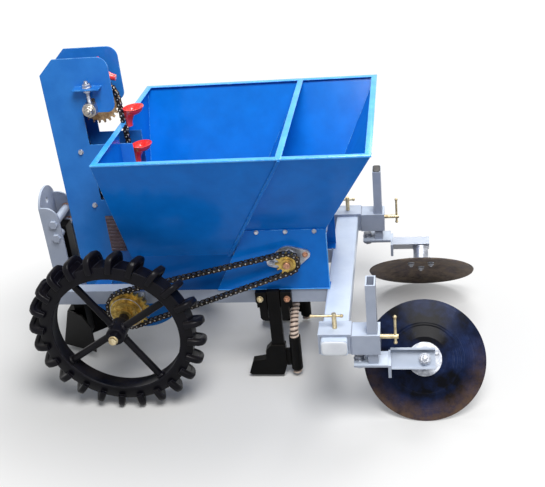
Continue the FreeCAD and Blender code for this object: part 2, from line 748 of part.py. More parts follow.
def roller_places(x0, z0, teeth0, x1, z1, teeth1, span):
    """Roller centres in the chain's direction of travel round two sprockets."""
    line = math.atan2(z1 - z0, x1 - x0)
    places = []

    def wrap(x, z, teeth, start):
        radius = pitch_radius(teeth)
        for k in range(teeth // 2 + 1):
            angle = start + k * 2 * math.pi / teeth
            places.append((x + radius * math.cos(angle), z + radius * math.sin(angle)))

    def run_to(x, z):
        last_x, last_z = places[-1]
        for k in range(1, span):
            places.append((last_x + (x - last_x) * k / span, last_z + (z - last_z) * k / span))

    wrap(x0, z0, teeth0, line + math.pi / 2)
    radius1 = pitch_radius(teeth1)
    run_to(x1 + radius1 * math.cos(line - math.pi / 2), z1 + radius1 * math.sin(line - math.pi / 2))
    wrap(x1, z1, teeth1, line - math.pi / 2)
    run_to(*places[0])
    return places


def link_outline(a, b, half_height, nose):
    """Outline of a link plate from pin a to pin b, with a nose of some length past each pin."""
    length = math.hypot(b[0] - a[0], b[1] - a[1])
    ux, uz = (b[0] - a[0]) / length, (b[1] - a[1]) / length
    corners = [(0, 1), (length, 1), (length + nose, 0), (length, -1), (0, -1), (-nose, 0)]
    return [(a[0] + ux * along - uz * across * half_height, a[1] + uz * along + ux * across * half_height)
            for along, across in corners]


def link_plates(a, b, y, outer):
    """The two side plates of one link."""
    half_height = outer_link_half_height if outer else inner_link_half_height
    near = chain_inner_width / 2 + (link_plate if outer else 0)
    outline = link_outline(a, b, half_height, half_height * 0.8)
    return [prism_y(outline, y + near, y + near + link_plate), prism_y(outline, y - near - link_plate, y - near)]


def chain_roller(place, y):
    outline = hexagon(place[0], place[1], roller_radius)
    return prism_y(outline, y - chain_inner_width / 2, y + chain_inner_width / 2)


def clear_of_teeth(place, wheels):
    """Whether a roller here stays out of the teeth's way; on the wraps only the side plates go round."""
    for x, z, teeth in wheels:
        if math.hypot(place[0] - x, place[1] - z) < pitch_radius(teeth) + tooth_height + roller_radius + 5.0:
            return False
    return True


def make_drive_chain():
    """Inner and outer links in turn, with a roller at every pin of the two straight runs."""
    places = roller_places(0, axle_z, drive_teeth, shaft_x, shaft_z, shaft_teeth, drive_span_pitches)
    wheels = [(0, axle_z, drive_teeth), (shaft_x, shaft_z, shaft_teeth)]
    pieces = []
    for index, place in enumerate(places):
        following = places[(index + 1) % len(places)]
        pieces += link_plates(place, following, drive_chain_y, index % 2 == 0)
        if clear_of_teeth(place, wheels):
            pieces.append(chain_roller(place, drive_chain_y))
    nodes["drive_chain"] = fuse_all(pieces)


def elevator_places():
    return roller_places(0, axle_z, elevator_teeth, head_x, head_z, elevator_teeth, elevator_span_pitches)


def make_elevator_chain():
    """Open links about the sprockets, plain blocks of the same size on the runs."""
    places = elevator_places()
    reach = pitch_radius(elevator_teeth) + 1.3 * pitch
    half = chain_inner_width / 2 + link_plate
    pieces = []
    for index, place in enumerate(places):
        following = places[(index + 1) % len(places)]
        middle = ((place[0] + following[0]) / 2, (place[1] + following[1]) / 2)
        gap = min(math.hypot(middle[0], middle[1] - axle_z), math.hypot(middle[0] - head_x, middle[1] - head_z))
        if gap < reach:
            pieces += link_plates(place, following, 0, index % 2 == 0)
        else:
            width = half + (link_plate if index % 2 == 0 else 0)
            height = outer_link_half_height if index % 2 == 0 else inner_link_half_height
            pieces.append(prism_y(link_outline(place, following, height, 0.01), -width, width))
    nodes["elevator_chain"] = fuse_all(pieces)


def cup_ring(along, radius, back):
    """Polygon round the cup at a distance along the travel, with a flat side at the back."""
    centre_out = back + radius * math.cos(math.pi / cup_sides)
    points = []
    for k in range(cup_sides):
        angle = 2 * math.pi * (k + 0.5) / cup_sides
        points.append(V(centre_out + radius * math.cos(angle), radius * math.sin(angle), along))
    return points


def seed_cup():
    """One cup: local X points out of the chain, local Z along its travel; its back is flat."""
    back = outer_link_half_height + seat_gap
    body = flat_loft(cup_ring(cup_rim_ahead - cup_length, cup_tip_radius, back),
                     cup_ring(cup_rim_ahead, cup_rim_radius, back))
    hollow = flat_loft(cup_ring(cup_rim_ahead - cup_hollow, cup_hollow_floor_radius, back + cup_wall),
                       cup_ring(cup_rim_ahead, cup_rim_radius - cup_wall, back + cup_wall))
    return body.cut(hollow)


def make_cups():
    places = elevator_places()
    cup = seed_cup()
    cups = []
    for index in range(cup_first_link, len(places), cup_every_links):
        before = places[index - 1]
        after = places[(index + 1) % len(places)]
        travel = math.degrees(math.atan2(after[1] - before[1], after[0] - before[0]))
        copy = cup.copy()
        copy.rotate(V(0, 0, 0), AXIS_Y, 90 - travel)
        copy.translate(V(places[index][0], 0, places[index][1]))
        cups.append(copy)
    nodes["seed_cups"] = Part.makeCompound(cups)


# ---------------------------------------------------------------- elevator housing
def make_elevator_plates():
    """Side plates with a rounded boot, two windows, the head and a ledge for the tension rod."""
    z_low = axle_z + boot_radius * math.sin(math.radians(boot_open_deg - 20))
    x_low = boot_radius * math.cos(math.radians(boot_open_deg - 20))
    outline = [(elevator_front_x, cover_bottom_z), (elevator_front_x, elevator_top_z - elevator_chamfer),
               (elevator_front_x + elevator_chamfer, elevator_top_z), (head_rear_x, elevator_top_z),
               (head_rear_x, head_bottom_z), (window_front_x, head_bottom_z),
               (window_front_x, upper_window_bottom_z), (elevator_rear_x, upper_window_bottom_z),
               (elevator_rear_x, potato_floor_z), (boot_radius, potato_floor_z), (boot_radius, axle_z),
               (x_low, z_low)]
    plate = prism_y(outline, plate_inner_y, elevator_half_width)
    plate = rounded_corners(plate, [(head_rear_x, elevator_top_z)], head_top_corner_radius)
    plate = rounded_corners(plate, [(head_rear_x, head_bottom_z)], head_low_corner_radius)
    ledge = box(head_x - ledge_length / 2, head_x + ledge_length / 2, elevator_half_width,
                elevator_half_width + ledge_width, ledge_z, ledge_z + bracket_plate)
    plate = fuse_all([plate, rod_y(0, axle_z, plate_inner_y, elevator_half_width, boot_radius), ledge])
    window = box(window_front_x, lower_window_rear_x, 0, 2 * elevator_half_width, lower_window_bottom_z,
                 lower_window_top_z)
    slot = box(head_x - head_shaft_radius - 2, head_x + head_shaft_radius + 2, 0, elevator_half_width + 1,
               head_z - head_shaft_radius - 2, head_z + take_up_travel)
    rod_hole = Part.makeCylinder(take_up_rod_radius + seat_gap, 40.0, V(head_x, take_up_y(), ledge_z - 10.0))
    axle_hole = rod_y(0, axle_z, 0, wheel_centre_y, axle_radius + axle_notch_clearance)
    for piece in (window, slot, rod_hole, axle_hole):
        plate = plate.cut(piece)
    both_sides("elevator_plate", plate)


def make_elevator_cover():
    """Flat front sheet between the side plates."""
    nodes["elevator_cover"] = box(elevator_front_x, elevator_front_x + sheet, -plate_inner_y, plate_inner_y,
                                  cover_bottom_z, elevator_top_z - elevator_chamfer)


def make_elevator_boot():
    """Curved sheet under the lower sprocket, open at the front where the seed drops."""
    ring = rod_y(0, axle_z, -plate_inner_y, plate_inner_y, boot_radius)
    ring = ring.cut(rod_y(0, axle_z, -plate_inner_y, plate_inner_y, boot_radius - sheet))
    start = math.radians(boot_open_deg)
    far = 2 * boot_radius
    kept = prism_y([(0, axle_z), (far * math.cos(start), axle_z + far * math.sin(start)), (far, axle_z - far),
                    (far, axle_z)], -elevator_half_width, elevator_half_width)
    lip = box(boot_radius - sheet, boot_radius, -plate_inner_y, plate_inner_y, axle_z, potato_floor_z + sheet)
    nodes["elevator_boot"] = fuse_all([ring.common(kept), lip])


def make_elevator_brackets():
    """Folded brackets between the rails and the elevator's side plates."""
    z1 = frame_top_z - 5.0
    low = rail_bottom_z + 4.0
    brackets = []
    for x in (elevator_front_x + 40.0, elevator_rear_x - 5.0):
        web = box(x, x + bracket_length, elevator_half_width, rail_inner_y, z1 - bracket_plate, z1)
        inner = box(x, x + bracket_length, elevator_half_width, elevator_half_width + bracket_plate, low, z1)
        outer = box(x, x + bracket_length, rail_inner_y - bracket_plate, rail_inner_y, low, z1)
        bracket = fuse_all([web, inner, outer])
        brackets += [bracket, mirrored(bracket)]
    nodes["elevator_brackets"] = Part.makeCompound(brackets)


def take_up_y():
    return elevator_half_width + seat_gap + take_up_width / 2


def make_chain_tensioners():
    """Bearing blocks of the head shaft, hung on rods from the ledges."""
    y0 = elevator_half_width + seat_gap
    block = box(head_x - take_up_block, head_x + take_up_block, y0, y0 + take_up_width, head_z - take_up_block,
                head_z + take_up_block)
    stem = Part.makeCylinder(take_up_rod_radius, ledge_z + 22.0 - head_z - 14.0, V(head_x, take_up_y(),
                                                                                  head_z + 14.0))
    head = Part.makeCylinder(10.0, 9.0, V(head_x, take_up_y(), ledge_z + bracket_plate + seat_gap))
    tensioner = fuse_all([block, stem, head])
    tensioner = tensioner.cut(rod_y(head_x, head_z, 0, 100, head_shaft_radius + running_clearance))
    both_sides("chain_tensioner", tensioner)


# ---------------------------------------------------------------- fertilizer shaft and head shaft
def make_shafts():
    far_end = panel_outer_y + shaft_bearing_width + 6.0
    near_end = drive_chain_y - 18.0
    nodes["fertilizer_shaft"] = rod_y(shaft_x, shaft_z, near_end, far_end, fertilizer_shaft_radius)
    head_end = take_up_y() + take_up_width / 2 + 8.0
    nodes["elevator_head_shaft"] = rod_y(head_x, head_z, -head_end, head_end, head_shaft_radius)


def make_rotors():
    """Fluted metering rollers over the two outlets."""
    rotor = Part.makeCylinder(rotor_radius, rotor_width, V(0, -rotor_width / 2, 0), AXIS_Y)
    for k in range(rotor_flutes):
        angle = 2 * math.pi * k / rotor_flutes
        flute = Part.makeCylinder(flute_radius, 2 * rotor_width,
                                  V(rotor_radius * math.cos(angle), -rotor_width, rotor_radius * math.sin(angle)),
                                  AXIS_Y)
        rotor = rotor.cut(flute)
    rotor = rotor.cut(rod_y(0, 0, -rotor_width, rotor_width, fertilizer_shaft_radius + running_clearance))
    rotor.translate(V(shaft_x, outlet_y, shaft_z))
    both_sides("metering_rotor", rotor)


def oval_flange(x, z, y0, y1):
    """Two-bolt bearing flange: a round middle drawn out to an ear at each end."""
    middle = rod_y(x, z, y0, y1, flange_round_radius)
    slope = math.acos((flange_round_radius - flange_ear_radius) / flange_bolt_reach)
    pieces = [middle]
    for end in (0.0, 180.0):
        turn = math.radians(flange_turn_deg + end)
        ear_x = x + flange_bolt_reach * math.cos(turn)
        ear_z = z + flange_bolt_reach * math.sin(turn)
        pieces.append(rod_y(ear_x, ear_z, y0, y1, flange_ear_radius))
        corners = []
        for base_x, base_z, radius, angle in (
                (x, z, flange_round_radius, turn + slope), (ear_x, ear_z, flange_ear_radius, turn + slope),
                (ear_x, ear_z, flange_ear_radius, turn - slope), (x, z, flange_round_radius, turn - slope)):
            corners.append((base_x + radius * math.cos(angle), base_z + radius * math.sin(angle)))
        pieces.append(prism_y(corners, y0, y1))
    return fuse_all(pieces)


def make_shaft_bearings():
    """Flange bearings of the fertilizer shaft on the side panels."""
    housing = rod_y(shaft_x, shaft_z, panel_outer_y, panel_outer_y + shaft_bearing_width, shaft_bearing_radius)
    flange = oval_flange(shaft_x, shaft_z, panel_outer_y, panel_outer_y + flange_plate)
    bearing = fuse_all([housing, flange])
    bearing = bearing.cut(rod_y(shaft_x, shaft_z, 0, 200, fertilizer_shaft_radius + running_clearance))
    both_sides("shaft_bearing", bearing)


# ---------------------------------------------------------------- ridging discs
def make_clamp_sleeves():
    """Sleeve on the crossbar's end, with the post's socket carried on two gussets."""
    y0 = post_centre_y - socket_half_width
    y1 = post_centre_y + socket_half_width
    fit = sleeve_clearance
    outer = box(crossbar_front_x - fit - sleeve_wall, crossbar_rear_x + fit + sleeve_wall, y0, y1,
                rail_bottom_z - fit - sleeve_wall, sleeve_top_z)
    passage = box(crossbar_front_x - fit, crossbar_rear_x + fit, y0 - 1, y1 + 1, rail_bottom_z - fit,
                  frame_top_z + fit)
    socket_top = socket_bottom_z + socket_height
    socket_front = post_front_x - socket_clearance - socket_wall
    socket = box(socket_front, socket_rear_x, y0, y1, socket_bottom_z, socket_top)
    well = box(post_front_x - socket_clearance, post_rear_x + socket_clearance,
               post_centre_y - post_width / 2 - socket_clearance, post_centre_y + post_width / 2 + socket_clearance,
               socket_bottom_z - 1, socket_top + 1)
    sleeve_rear = crossbar_rear_x + fit + sleeve_wall
    gussets = [box(sleeve_rear - 1, socket_front + 1, y0, y0 + gusset_plate, socket_bottom_z, socket_top),
               box(sleeve_rear - 1, socket_front + 1, y1 - gusset_plate, y1, socket_bottom_z, socket_top),
               box(sleeve_rear - 1, socket_front + 1, y0, y1, socket_top - gusset_plate, socket_top)]
    clamp = fuse_all([outer, socket] + gussets).cut(passage).cut(well)
    clamp = clamp.cut(Part.makeCylinder(screw_radius + running_clearance, 40.0, sleeve_screw_foot()))
    clamp = clamp.cut(Part.makeCylinder(screw_radius + running_clearance, 40.0, post_screw_foot(), AXIS_X))
    both_sides("clamp_sleeve", clamp)


def sleeve_screw_foot():
    return V((crossbar_front_x + crossbar_rear_x) / 2, post_centre_y, frame_top_z)


def post_screw_foot():
    return V(post_rear_x + seat_gap, post_centre_y, socket_bottom_z + socket_height * 0.6)


def t_screw(foot, direction, length, handle_direction, handle_shift):
    """Clamping screw with a sliding cross handle near its outer end."""
    stem = Part.makeCylinder(screw_radius, length, foot, direction)
    middle = foot + direction * (length - 8.0) + handle_direction * handle_shift
    handle = rod(middle - handle_direction * handle_half_length, middle + handle_direction * handle_half_length,
                 handle_radius)
    return fuse_all([stem, handle])


def make_clamp_screws():
    both_sides("sleeve_screw", t_screw(sleeve_screw_foot(), AXIS_Z, 54.0, AXIS_X, -20.0))
    both_sides("post_screw", t_screw(post_screw_foot(), AXIS_X, 54.0, AXIS_Z, 21.0))


def make_disc_posts():
    """Upright tube with the foot plate and the toe bolt of the disc arm."""
    y0 = post_centre_y - post_width / 2
    y1 = post_centre_y + post_width / 2
    post = box(post_front_x, post_rear_x, y0, y1, post_bottom_z, post_bottom_z + post_length)
    post = post.cut(box(post_front_x + post_wall, post_rear_x - post_wall, y0 + post_wall, y1 - post_wall,
                        post_bottom_z, post_bottom_z + post_length + 1))
    foot = box(foot_front_x, foot_rear_x, post_centre_y - socket_half_width, post_centre_y + socket_half_width,
               post_bottom_z - foot_plate, post_bottom_z)
    tongue_low = post_bottom_z - foot_plate - seat_gap - arm_plate
    bolt = Part.makeCylinder(toe_bolt_radius, post_bottom_z + 2.0 - tongue_low, V(toe_bolt_x, post_centre_y,
                                                                                  tongue_low))
    head = Part.makeCylinder(toe_bolt_radius + 5.0, 8.0, V(toe_bolt_x, post_centre_y, post_bottom_z))
    nut = Part.makeCylinder(toe_bolt_radius + 5.0, 8.0, V(toe_bolt_x, post_centre_y, tongue_low - seat_gap - 8.0))
    link = Part.makeCylinder(toe_bolt_radius, 8.0, V(toe_bolt_x, post_centre_y, tongue_low - 6.0))
    both_sides("disc_post", fuse_all([post, foot, bolt, link, head, nut]))


def disc_profile():
    rim_in = disc_radius - disc_thickness * 0.6
    return [(0, 0), (disc_flat_radius, 0), (disc_radius, -disc_dish), (rim_in, -disc_dish - disc_thickness),
            (disc_flat_radius - 1.0, -disc_thickness), (0, -disc_thickness)]


def disc_height(tilt_deg):
    """Height of the disc's centre with its lowest edge on the floor."""
    lean = math.radians(tilt_deg)
    return max(reach * math.cos(lean) - out * math.sin(lean) for reach, out in disc_profile())


def onto_disc_axis(shape, tilt_deg):
    """From a frame with the disc's axis along Z to the leaning axis on the right side."""
    placed = shape.copy()
    placed.rotate(V(0, 0, 0), AXIS_X, tilt_deg - 90)
    placed.translate(V(disc_centre_x, disc_centre_y, disc_height(tilt_deg)))
    return placed


def each_with_its_tilt(name, make_right):
    """Store both sides of a piece; each disc is set to a tilt of its own."""
    nodes["right_" + name] = make_right(right_disc_tilt_deg)
    nodes["left_" + name] = mirrored(make_right(left_disc_tilt_deg))


def make_discs():
    """Dished disc and its flanged hub."""
    outline = [V(r, 0, s) for r, s in disc_profile()]
    disc = Part.Face(Part.makePolygon(outline + outline[:1])).revolve(V(0, 0, 0), AXIS_Z, 360)
    each_with_its_tilt("disc", lambda tilt_deg: onto_disc_axis(disc, tilt_deg))
    hub = Part.makeCylinder(disc_flange_radius, disc_flange_thickness)
    hub = hub.fuse(Part.makeCylinder(disc_hub_radius, disc_hub_length)).removeSplitter()
    bore = Part.makeCylinder(stub_radius + running_clearance, disc_hub_length, V(0, 0, disc_flange_thickness))
    hub = hub.cut(bore)
    each_with_its_tilt("disc_hub", lambda tilt_deg: onto_disc_axis(hub, tilt_deg))


def disc_arm(tilt_deg):
    """Channel with the stub axle, welded to a bent plate that is bolted under the post's foot."""
    reach = disc_centre_x - arm_front_x
    start = disc_hub_length + seat_gap
    web = Part.makeBox(reach + arm_end, arm_height, arm_thickness, V(-reach, -arm_height / 2, start))
    lips = [Part.makeBox(reach + arm_end, arm_thickness, arm_lip + arm_thickness, V(-reach, side, start))
            for side in (-arm_height / 2, arm_height / 2 - arm_thickness)]
    stub = Part.makeCylinder(stub_radius, disc_hub_length + arm_thickness + 4.0 - disc_flange_thickness,
                             V(0, 0, disc_flange_thickness + seat_gap))
    washer = Part.makeCylinder(washer_radius, washer_thickness, V(0, 0, start + arm_thickness))
    nut = prism([V(x, y, start + arm_thickness) for x, y in hexagon(0, 0, stub_radius + 5.0)], V(0, 0, 12.0))
    arm = onto_disc_axis(fuse_all([web, stub, washer, nut] + lips), tilt_deg)
    tongue_top = post_bottom_z - foot_plate - seat_gap
    tongue_low = tongue_top - arm_plate
    y0 = post_centre_y - post_width / 2
    y1 = post_centre_y + post_width / 2
    tongue = box(foot_front_x + 2.0, arm_front_x, y0, y1, tongue_low, tongue_top)
    lean = math.radians(tilt_deg)
    middle = start + (arm_lip + arm_thickness) / 2
    bar_y = disc_centre_y + middle * math.cos(lean)
    bar_z = disc_height(tilt_deg) + middle * math.sin(lean)
    half_y = arm_height / 2 * math.sin(lean) + 12.0
    half_z = arm_height / 2 * math.cos(lean) + 10.0
    flange = box(arm_front_x - arm_plate, arm_front_x + 2.0, bar_y - half_y, max(y1, bar_y + half_y),
                 bar_z - half_z, tongue_top)
    arm = fuse_all([arm, tongue, flange])
    hole = Part.makeCylinder(toe_bolt_radius + running_clearance, 40.0, V(toe_bolt_x, post_centre_y,
                                                                         tongue_low - 20.0))
    return arm.cut(hole)


def make_disc_arms():
    each_with_its_tilt("disc_arm", disc_arm)


# ---------------------------------------------------------------- everything
make_wheels()
make_axle()
make_axle_bearings()
make_frame()
make_hitch()
make_furrow_opener()
make_shank_bolts()
make_potato_hopper()
make_fertilizer_hopper()
make_side_panels()
make_hopper_supports()
make_fertilizer_trough()
make_sprockets()
make_drive_chain()
make_elevator_chain()
make_cups()
make_elevator_plates()
make_elevator_cover()
make_elevator_boot()
make_elevator_brackets()
make_chain_tensioners()
make_shafts()
make_rotors()
make_shaft_bearings()
make_fertilizer_openers()
make_hoses()
make_clamp_sleeves()
make_clamp_screws()
make_disc_posts()
make_discs()
make_disc_arms()

front = min(shape.BoundBox.XMin for shape in nodes.values())
rear = max(shape.BoundBox.XMax for shape in nodes.values())
middle_x = (front + rear) / 2
print("X of the machine's middle behind the axle:", round(middle_x, 4))
os.makedirs("parts", exist_ok=True)
for name, shape in nodes.items():
    shape.translate(V(-middle_x, 0, 0))
    shape.exportStep("parts/" + name + ".step")
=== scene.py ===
# %% [markdown]
# # A single-row potato planter
# A small tractor carries this machine. Its wheels drive a chain of cups that lifts potatoes out
# of a hopper, rotors let fertilizer fall through two hoses, and two discs ridge the soil behind.
# The CAD model has all of that, so it is loaded as a fixed frame. This notebook gives each
# surface its finish and adds what a maker adds last: chains with pins, bolts, welds, ribs and
# seed cups. Places are measured from the boxes and joints of the CAD pieces, in metres.

# %% Load the frame
import json
import math
import bmesh
import bpy
import numpy as np
from mathutils import Matrix, Vector


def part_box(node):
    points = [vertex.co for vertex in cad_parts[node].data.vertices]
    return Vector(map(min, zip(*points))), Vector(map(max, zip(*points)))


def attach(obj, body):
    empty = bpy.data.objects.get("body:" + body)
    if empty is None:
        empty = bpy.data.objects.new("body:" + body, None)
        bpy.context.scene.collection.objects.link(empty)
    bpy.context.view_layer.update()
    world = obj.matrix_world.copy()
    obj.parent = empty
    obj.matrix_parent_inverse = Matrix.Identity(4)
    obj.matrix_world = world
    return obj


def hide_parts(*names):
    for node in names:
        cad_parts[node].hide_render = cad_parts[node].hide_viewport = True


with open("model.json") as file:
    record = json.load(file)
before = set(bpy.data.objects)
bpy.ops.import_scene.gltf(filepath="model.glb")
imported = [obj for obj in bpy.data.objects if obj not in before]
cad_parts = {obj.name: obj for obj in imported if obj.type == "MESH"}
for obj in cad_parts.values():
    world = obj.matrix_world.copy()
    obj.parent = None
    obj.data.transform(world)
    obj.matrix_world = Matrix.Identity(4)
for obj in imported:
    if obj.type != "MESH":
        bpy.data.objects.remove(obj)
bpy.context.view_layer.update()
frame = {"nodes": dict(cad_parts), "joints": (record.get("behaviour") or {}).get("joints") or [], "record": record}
nodes = frame["nodes"]
joints = {joint["name"]: joint for joint in frame["joints"]}


def low_high(node):
    """Lowest and highest corner of a CAD node's box."""
    low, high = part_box(node)
    return np.array(low), np.array(high)


def middle(node):
    """Centre of a CAD node's box: half of its lowest plus its highest corner."""
    low, high = low_high(node)
    return (low + high) / 2


def joint_place(name):
    """A point on a joint's axis."""
    return np.array(joints[name]["pos_m"])


# %% [markdown]
# ## Camera
# The machine is seen from its left side, a little from the rear, at a standing person's eye
# height. A constraint could aim the camera, but the view is also rolled by a few degrees. So the
# camera's turn is a matrix made of three directions: right, up and back.

# %% Camera
YAW, PITCH, ROLL = math.radians(-10.12), math.radians(28.72), math.radians(-6.16)
LENS_MM = 59.1
CAMERA_PLACE = (0.4697, -2.2927, 1.6496)

level_forward = np.array([math.sin(YAW), math.cos(YAW), 0.0])
level_right = np.array([math.cos(YAW), -math.sin(YAW), 0.0])
upright = np.array([0.0, 0.0, 1.0])
forward = level_forward * math.cos(PITCH) - upright * math.sin(PITCH)
tilted_up = level_forward * math.sin(PITCH) + upright * math.cos(PITCH)
right = level_right * math.cos(ROLL) + tilted_up * math.sin(ROLL)
up = tilted_up * math.cos(ROLL) - level_right * math.sin(ROLL)

camera_data = bpy.data.cameras.new("camera")
camera_data.lens = LENS_MM
camera = bpy.data.objects.new("camera", camera_data)
turn = np.eye(4)
turn[:3, 0], turn[:3, 1], turn[:3, 2] = right, up, -forward
turn[:3, 3] = CAMERA_PLACE
camera.matrix_world = Matrix(turn.tolist())
bpy.context.scene.collection.objects.link(camera)
bpy.context.scene.camera = camera
print("camera looks along", forward.round(3).tolist())

# %% [markdown]
# ## Node helpers
# Every finish is built from shader nodes: it needs no image and stays sharp at any distance. The
# nodes could be placed by hand in the editor. In code, a few small functions keep a material
# readable. Each adds one node, feeds it sockets or plain values, and returns what comes out.


# %% Adding and joining nodes
def add(tree, kind, **values):
    """Add a shader node; plain names set its properties, values for sockets come in `inputs`."""
    node = tree.nodes.new(kind)
    for name, value in values.pop("inputs", {}).items():
        node.inputs[name].default_value = value
    for name, value in values.items():
        setattr(node, name, value)
    return node


def feed(tree, value, target):
    """Join a socket to the target socket, or set a number or colour on it."""
    if isinstance(value, bpy.types.NodeSocket):
        tree.links.new(value, target)
    else:
        target.default_value = value


def here(tree):
    """The point on the surface, measured in the piece's own frame."""
    return add(tree, "ShaderNodeTexCoord").outputs["Object"]


def noise(tree, scale, detail, roughness=0.5):
    """Cloudy noise, fixed to the piece; a larger scale makes smaller clouds."""
    node = add(tree, "ShaderNodeTexNoise",
               inputs={"Scale": scale, "Detail": detail, "Roughness": roughness})
    feed(tree, here(tree), node.inputs["Vector"])
    return node.outputs[0]


# %% Arithmetic on sockets
def calculate(tree, operation, a, b, clamp=False):
    """One Math node on a and b; `clamp` keeps the result between 0 and 1."""
    node = add(tree, "ShaderNodeMath", operation=operation, use_clamp=clamp)
    feed(tree, a, node.inputs[0])
    feed(tree, b, node.inputs[1])
    return node.outputs[0]


def calculate_vector(tree, operation, a, b=None):
    """One Vector Math node; a length or a dot product comes out as a number."""
    node = add(tree, "ShaderNodeVectorMath", operation=operation)
    feed(tree, a, node.inputs[0])
    if b is not None:
        feed(tree, b, node.inputs[1])
    return node.outputs["Value" if operation in ("LENGTH", "DOT_PRODUCT") else "Vector"]


def height_of(tree, direction):
    """The Z of a direction or place."""
    node = add(tree, "ShaderNodeSeparateXYZ")
    feed(tree, direction, node.inputs[0])
    return node.outputs["Z"]


# %% Ranges and mixtures
def remap(tree, value, start, end, low=0.0, high=1.0, **options):
    """Map Range: low at `start`, high at `end`, straight between and level outside."""
    node = add(tree, "ShaderNodeMapRange", **options,
               inputs={"From Min": start, "From Max": end, "To Min": low, "To Max": high})
    feed(tree, value, node.inputs["Value"])
    return node.outputs[0]


def ramp(tree, value, start, end, low=0.0, high=1.0):
    """Colour ramp from one grey at `start` to another at `end`, level outside."""
    node = add(tree, "ShaderNodeValToRGB")
    for element, place, grey in zip(node.color_ramp.elements, (start, end), (low, high)):
        element.position, element.color = place, (grey, grey, grey, 1)
    feed(tree, value, node.inputs[0])
    return node.outputs[0]


def mix(tree, share, a, b):
    """Mix two colours: a where the share is 0, b where it is 1."""
    node = add(tree, "ShaderNodeMix", data_type="RGBA")
    for index, value in ((0, share), (6, a), (7, b)):
        feed(tree, value, node.inputs[index])
    return node.outputs[2]


# %% [markdown]
# ## Shared effects
# Paint on steel ages in the same way everywhere: thin edges rub lighter, dust lies on what faces up, and the film
# is slightly uneven. The lighter edge tone is also a painted edge highlight, and on the frame the upward mask lays
# a painted sheen. Each effect could be repeated in every material. As a node group it is made once, and each
# material places it with its own amounts.


# %% A group and its sockets
def new_group(name, inputs, outputs):
    """A node group from {input: usual number} and {output: kind}, with its two end sockets."""
    group = bpy.data.node_groups.new(name, "ShaderNodeTree")
    for label, value in inputs.items():
        socket = group.interface.new_socket(label, in_out="INPUT", socket_type="NodeSocketFloat")
        socket.default_value = value
    for label, kind in outputs.items():
        group.interface.new_socket(label, in_out="OUTPUT", socket_type="NodeSocket" + kind)
    return group, add(group, "NodeGroupInput").outputs, add(group, "NodeGroupOutput").inputs


def place_group(tree, group, **values):
    """Place a group in a material with its own input values, and return its outputs."""
    node = add(tree, "ShaderNodeGroup", node_tree=group)
    for name, value in values.items():
        node.inputs[name].default_value = value
    return node.outputs


# %% Rubbed edges
def make_rubbed_and_highlit_edge_group():
    """Edge mask for rubbed wear and a painted edge highlight: one minus the cosine between the true normal and a
    rounded one, sharpened.
    """
    group, given, out = new_group("rubbed_edges", {"Radius": 0.002, "Amount": 1.0},
                                  {"Mask": "Float", "Normal": "Vector"})
    rounded = add(group, "ShaderNodeBevel", samples=4)
    feed(group, given["Radius"], rounded.inputs["Radius"])
    true_normal = add(group, "ShaderNodeNewGeometry").outputs["Normal"]
    cosine = calculate_vector(group, "DOT_PRODUCT", rounded.outputs[0], true_normal)
    patches = ramp(group, noise(group, 60.0, 4.0, 0.7), 0.42, 0.62)
    worn = calculate(group, "MULTIPLY", remap(group, cosine, 0.999, 0.93), patches)
    feed(group, calculate(group, "MULTIPLY", worn, given["Amount"], clamp=True), out["Mask"])
    feed(group, rounded.outputs[0], out["Normal"])
    return group


rubbed_and_highlit_edge_group = make_rubbed_and_highlit_edge_group()
print("rubbed edges:", len(rubbed_and_highlit_edge_group.nodes), "nodes")


# %% Settled dust
def make_dust_and_sheen_group():
    """Mask for dust, and for a painted sheen where Evenness is high: how far a face looks up, times blotchy noise
    that is never below Evenness.
    """
    group, given, out = new_group("settled_dust", {"Amount": 0.3, "Evenness": 0.0},
                                  {"Mask": "Float"})
    normal = add(group, "ShaderNodeNewGeometry").outputs["Normal"]
    upward = remap(group, height_of(group, normal), 0.2, 0.95, low=0.1)
    blotches = ramp(group, noise(group, 9.0, 6.0, 0.65), 0.40, 0.72)
    cover = calculate(group, "MAXIMUM", blotches, given["Evenness"])
    dust_and_sheen = calculate(group, "MULTIPLY", upward, cover)
    feed(group, calculate(group, "MULTIPLY", dust_and_sheen, given["Amount"], clamp=True), out["Mask"])
    return group


dust_and_sheen_group = make_dust_and_sheen_group()
print("settled dust:", len(dust_and_sheen_group.nodes), "nodes")


# %% Paint film
def make_film_group():
    """Height: fine orange peel on long soft waves in the sheet. Patches: slow drift of tone."""
    group, given, out = new_group("paint_film", {"Peel": 1.0, "Waves": 1.0},
                                  {"Height": "Float", "Patches": "Float"})
    peel = calculate(group, "MULTIPLY", noise(group, 420.0, 2.0), 0.03)
    fine = calculate(group, "MULTIPLY", peel, given["Peel"])
    broad = calculate(group, "MULTIPLY", noise(group, 5.0, 1.0), given["Waves"])
    feed(group, calculate(group, "ADD", fine, broad), out["Height"])
    feed(group, noise(group, 14.0, 5.0, 0.6), out["Patches"])
    return group


film_group = make_film_group()
print("paint film:", len(film_group.nodes), "nodes")

# %% [markdown]
# ## Painted steel
# Sheet and tubes are sprayed with glossy paint. A plain colour would look like plastic, so one function makes
# every paint: a colour that drifts a little, a lighter tone on edges for rubbed wear and a painted edge highlight,
# dust or a painted sheen on top, and a bump for the film. Each paint then differs by its colours and amounts
# alone.


# %% Colours and shader helpers
def linear(red, green, blue):
    """Screen colour from 0 to 255 to linear light, with alpha 1: a line near black, then
    ((value + 0.055) / 1.055) ** 2.4."""
    values = np.array([red, green, blue]) / 255.0
    light = np.where(values <= 0.04045, values / 12.92, ((values + 0.055) / 1.055) ** 2.4)
    return (*light.tolist(), 1.0)


def new_material(name):
    """A material with its node tree and its shader."""
    material = bpy.data.materials.new(name)
    material.use_nodes = True
    return material, material.node_tree, material.node_tree.nodes["Principled BSDF"]


def set_sockets(shader, **values):
    """Plain numbers on the shader's own sockets; Coat_Weight stands for Coat Weight."""
    for name, value in values.items():
        shader.inputs[name.replace("_", " ")].default_value = value


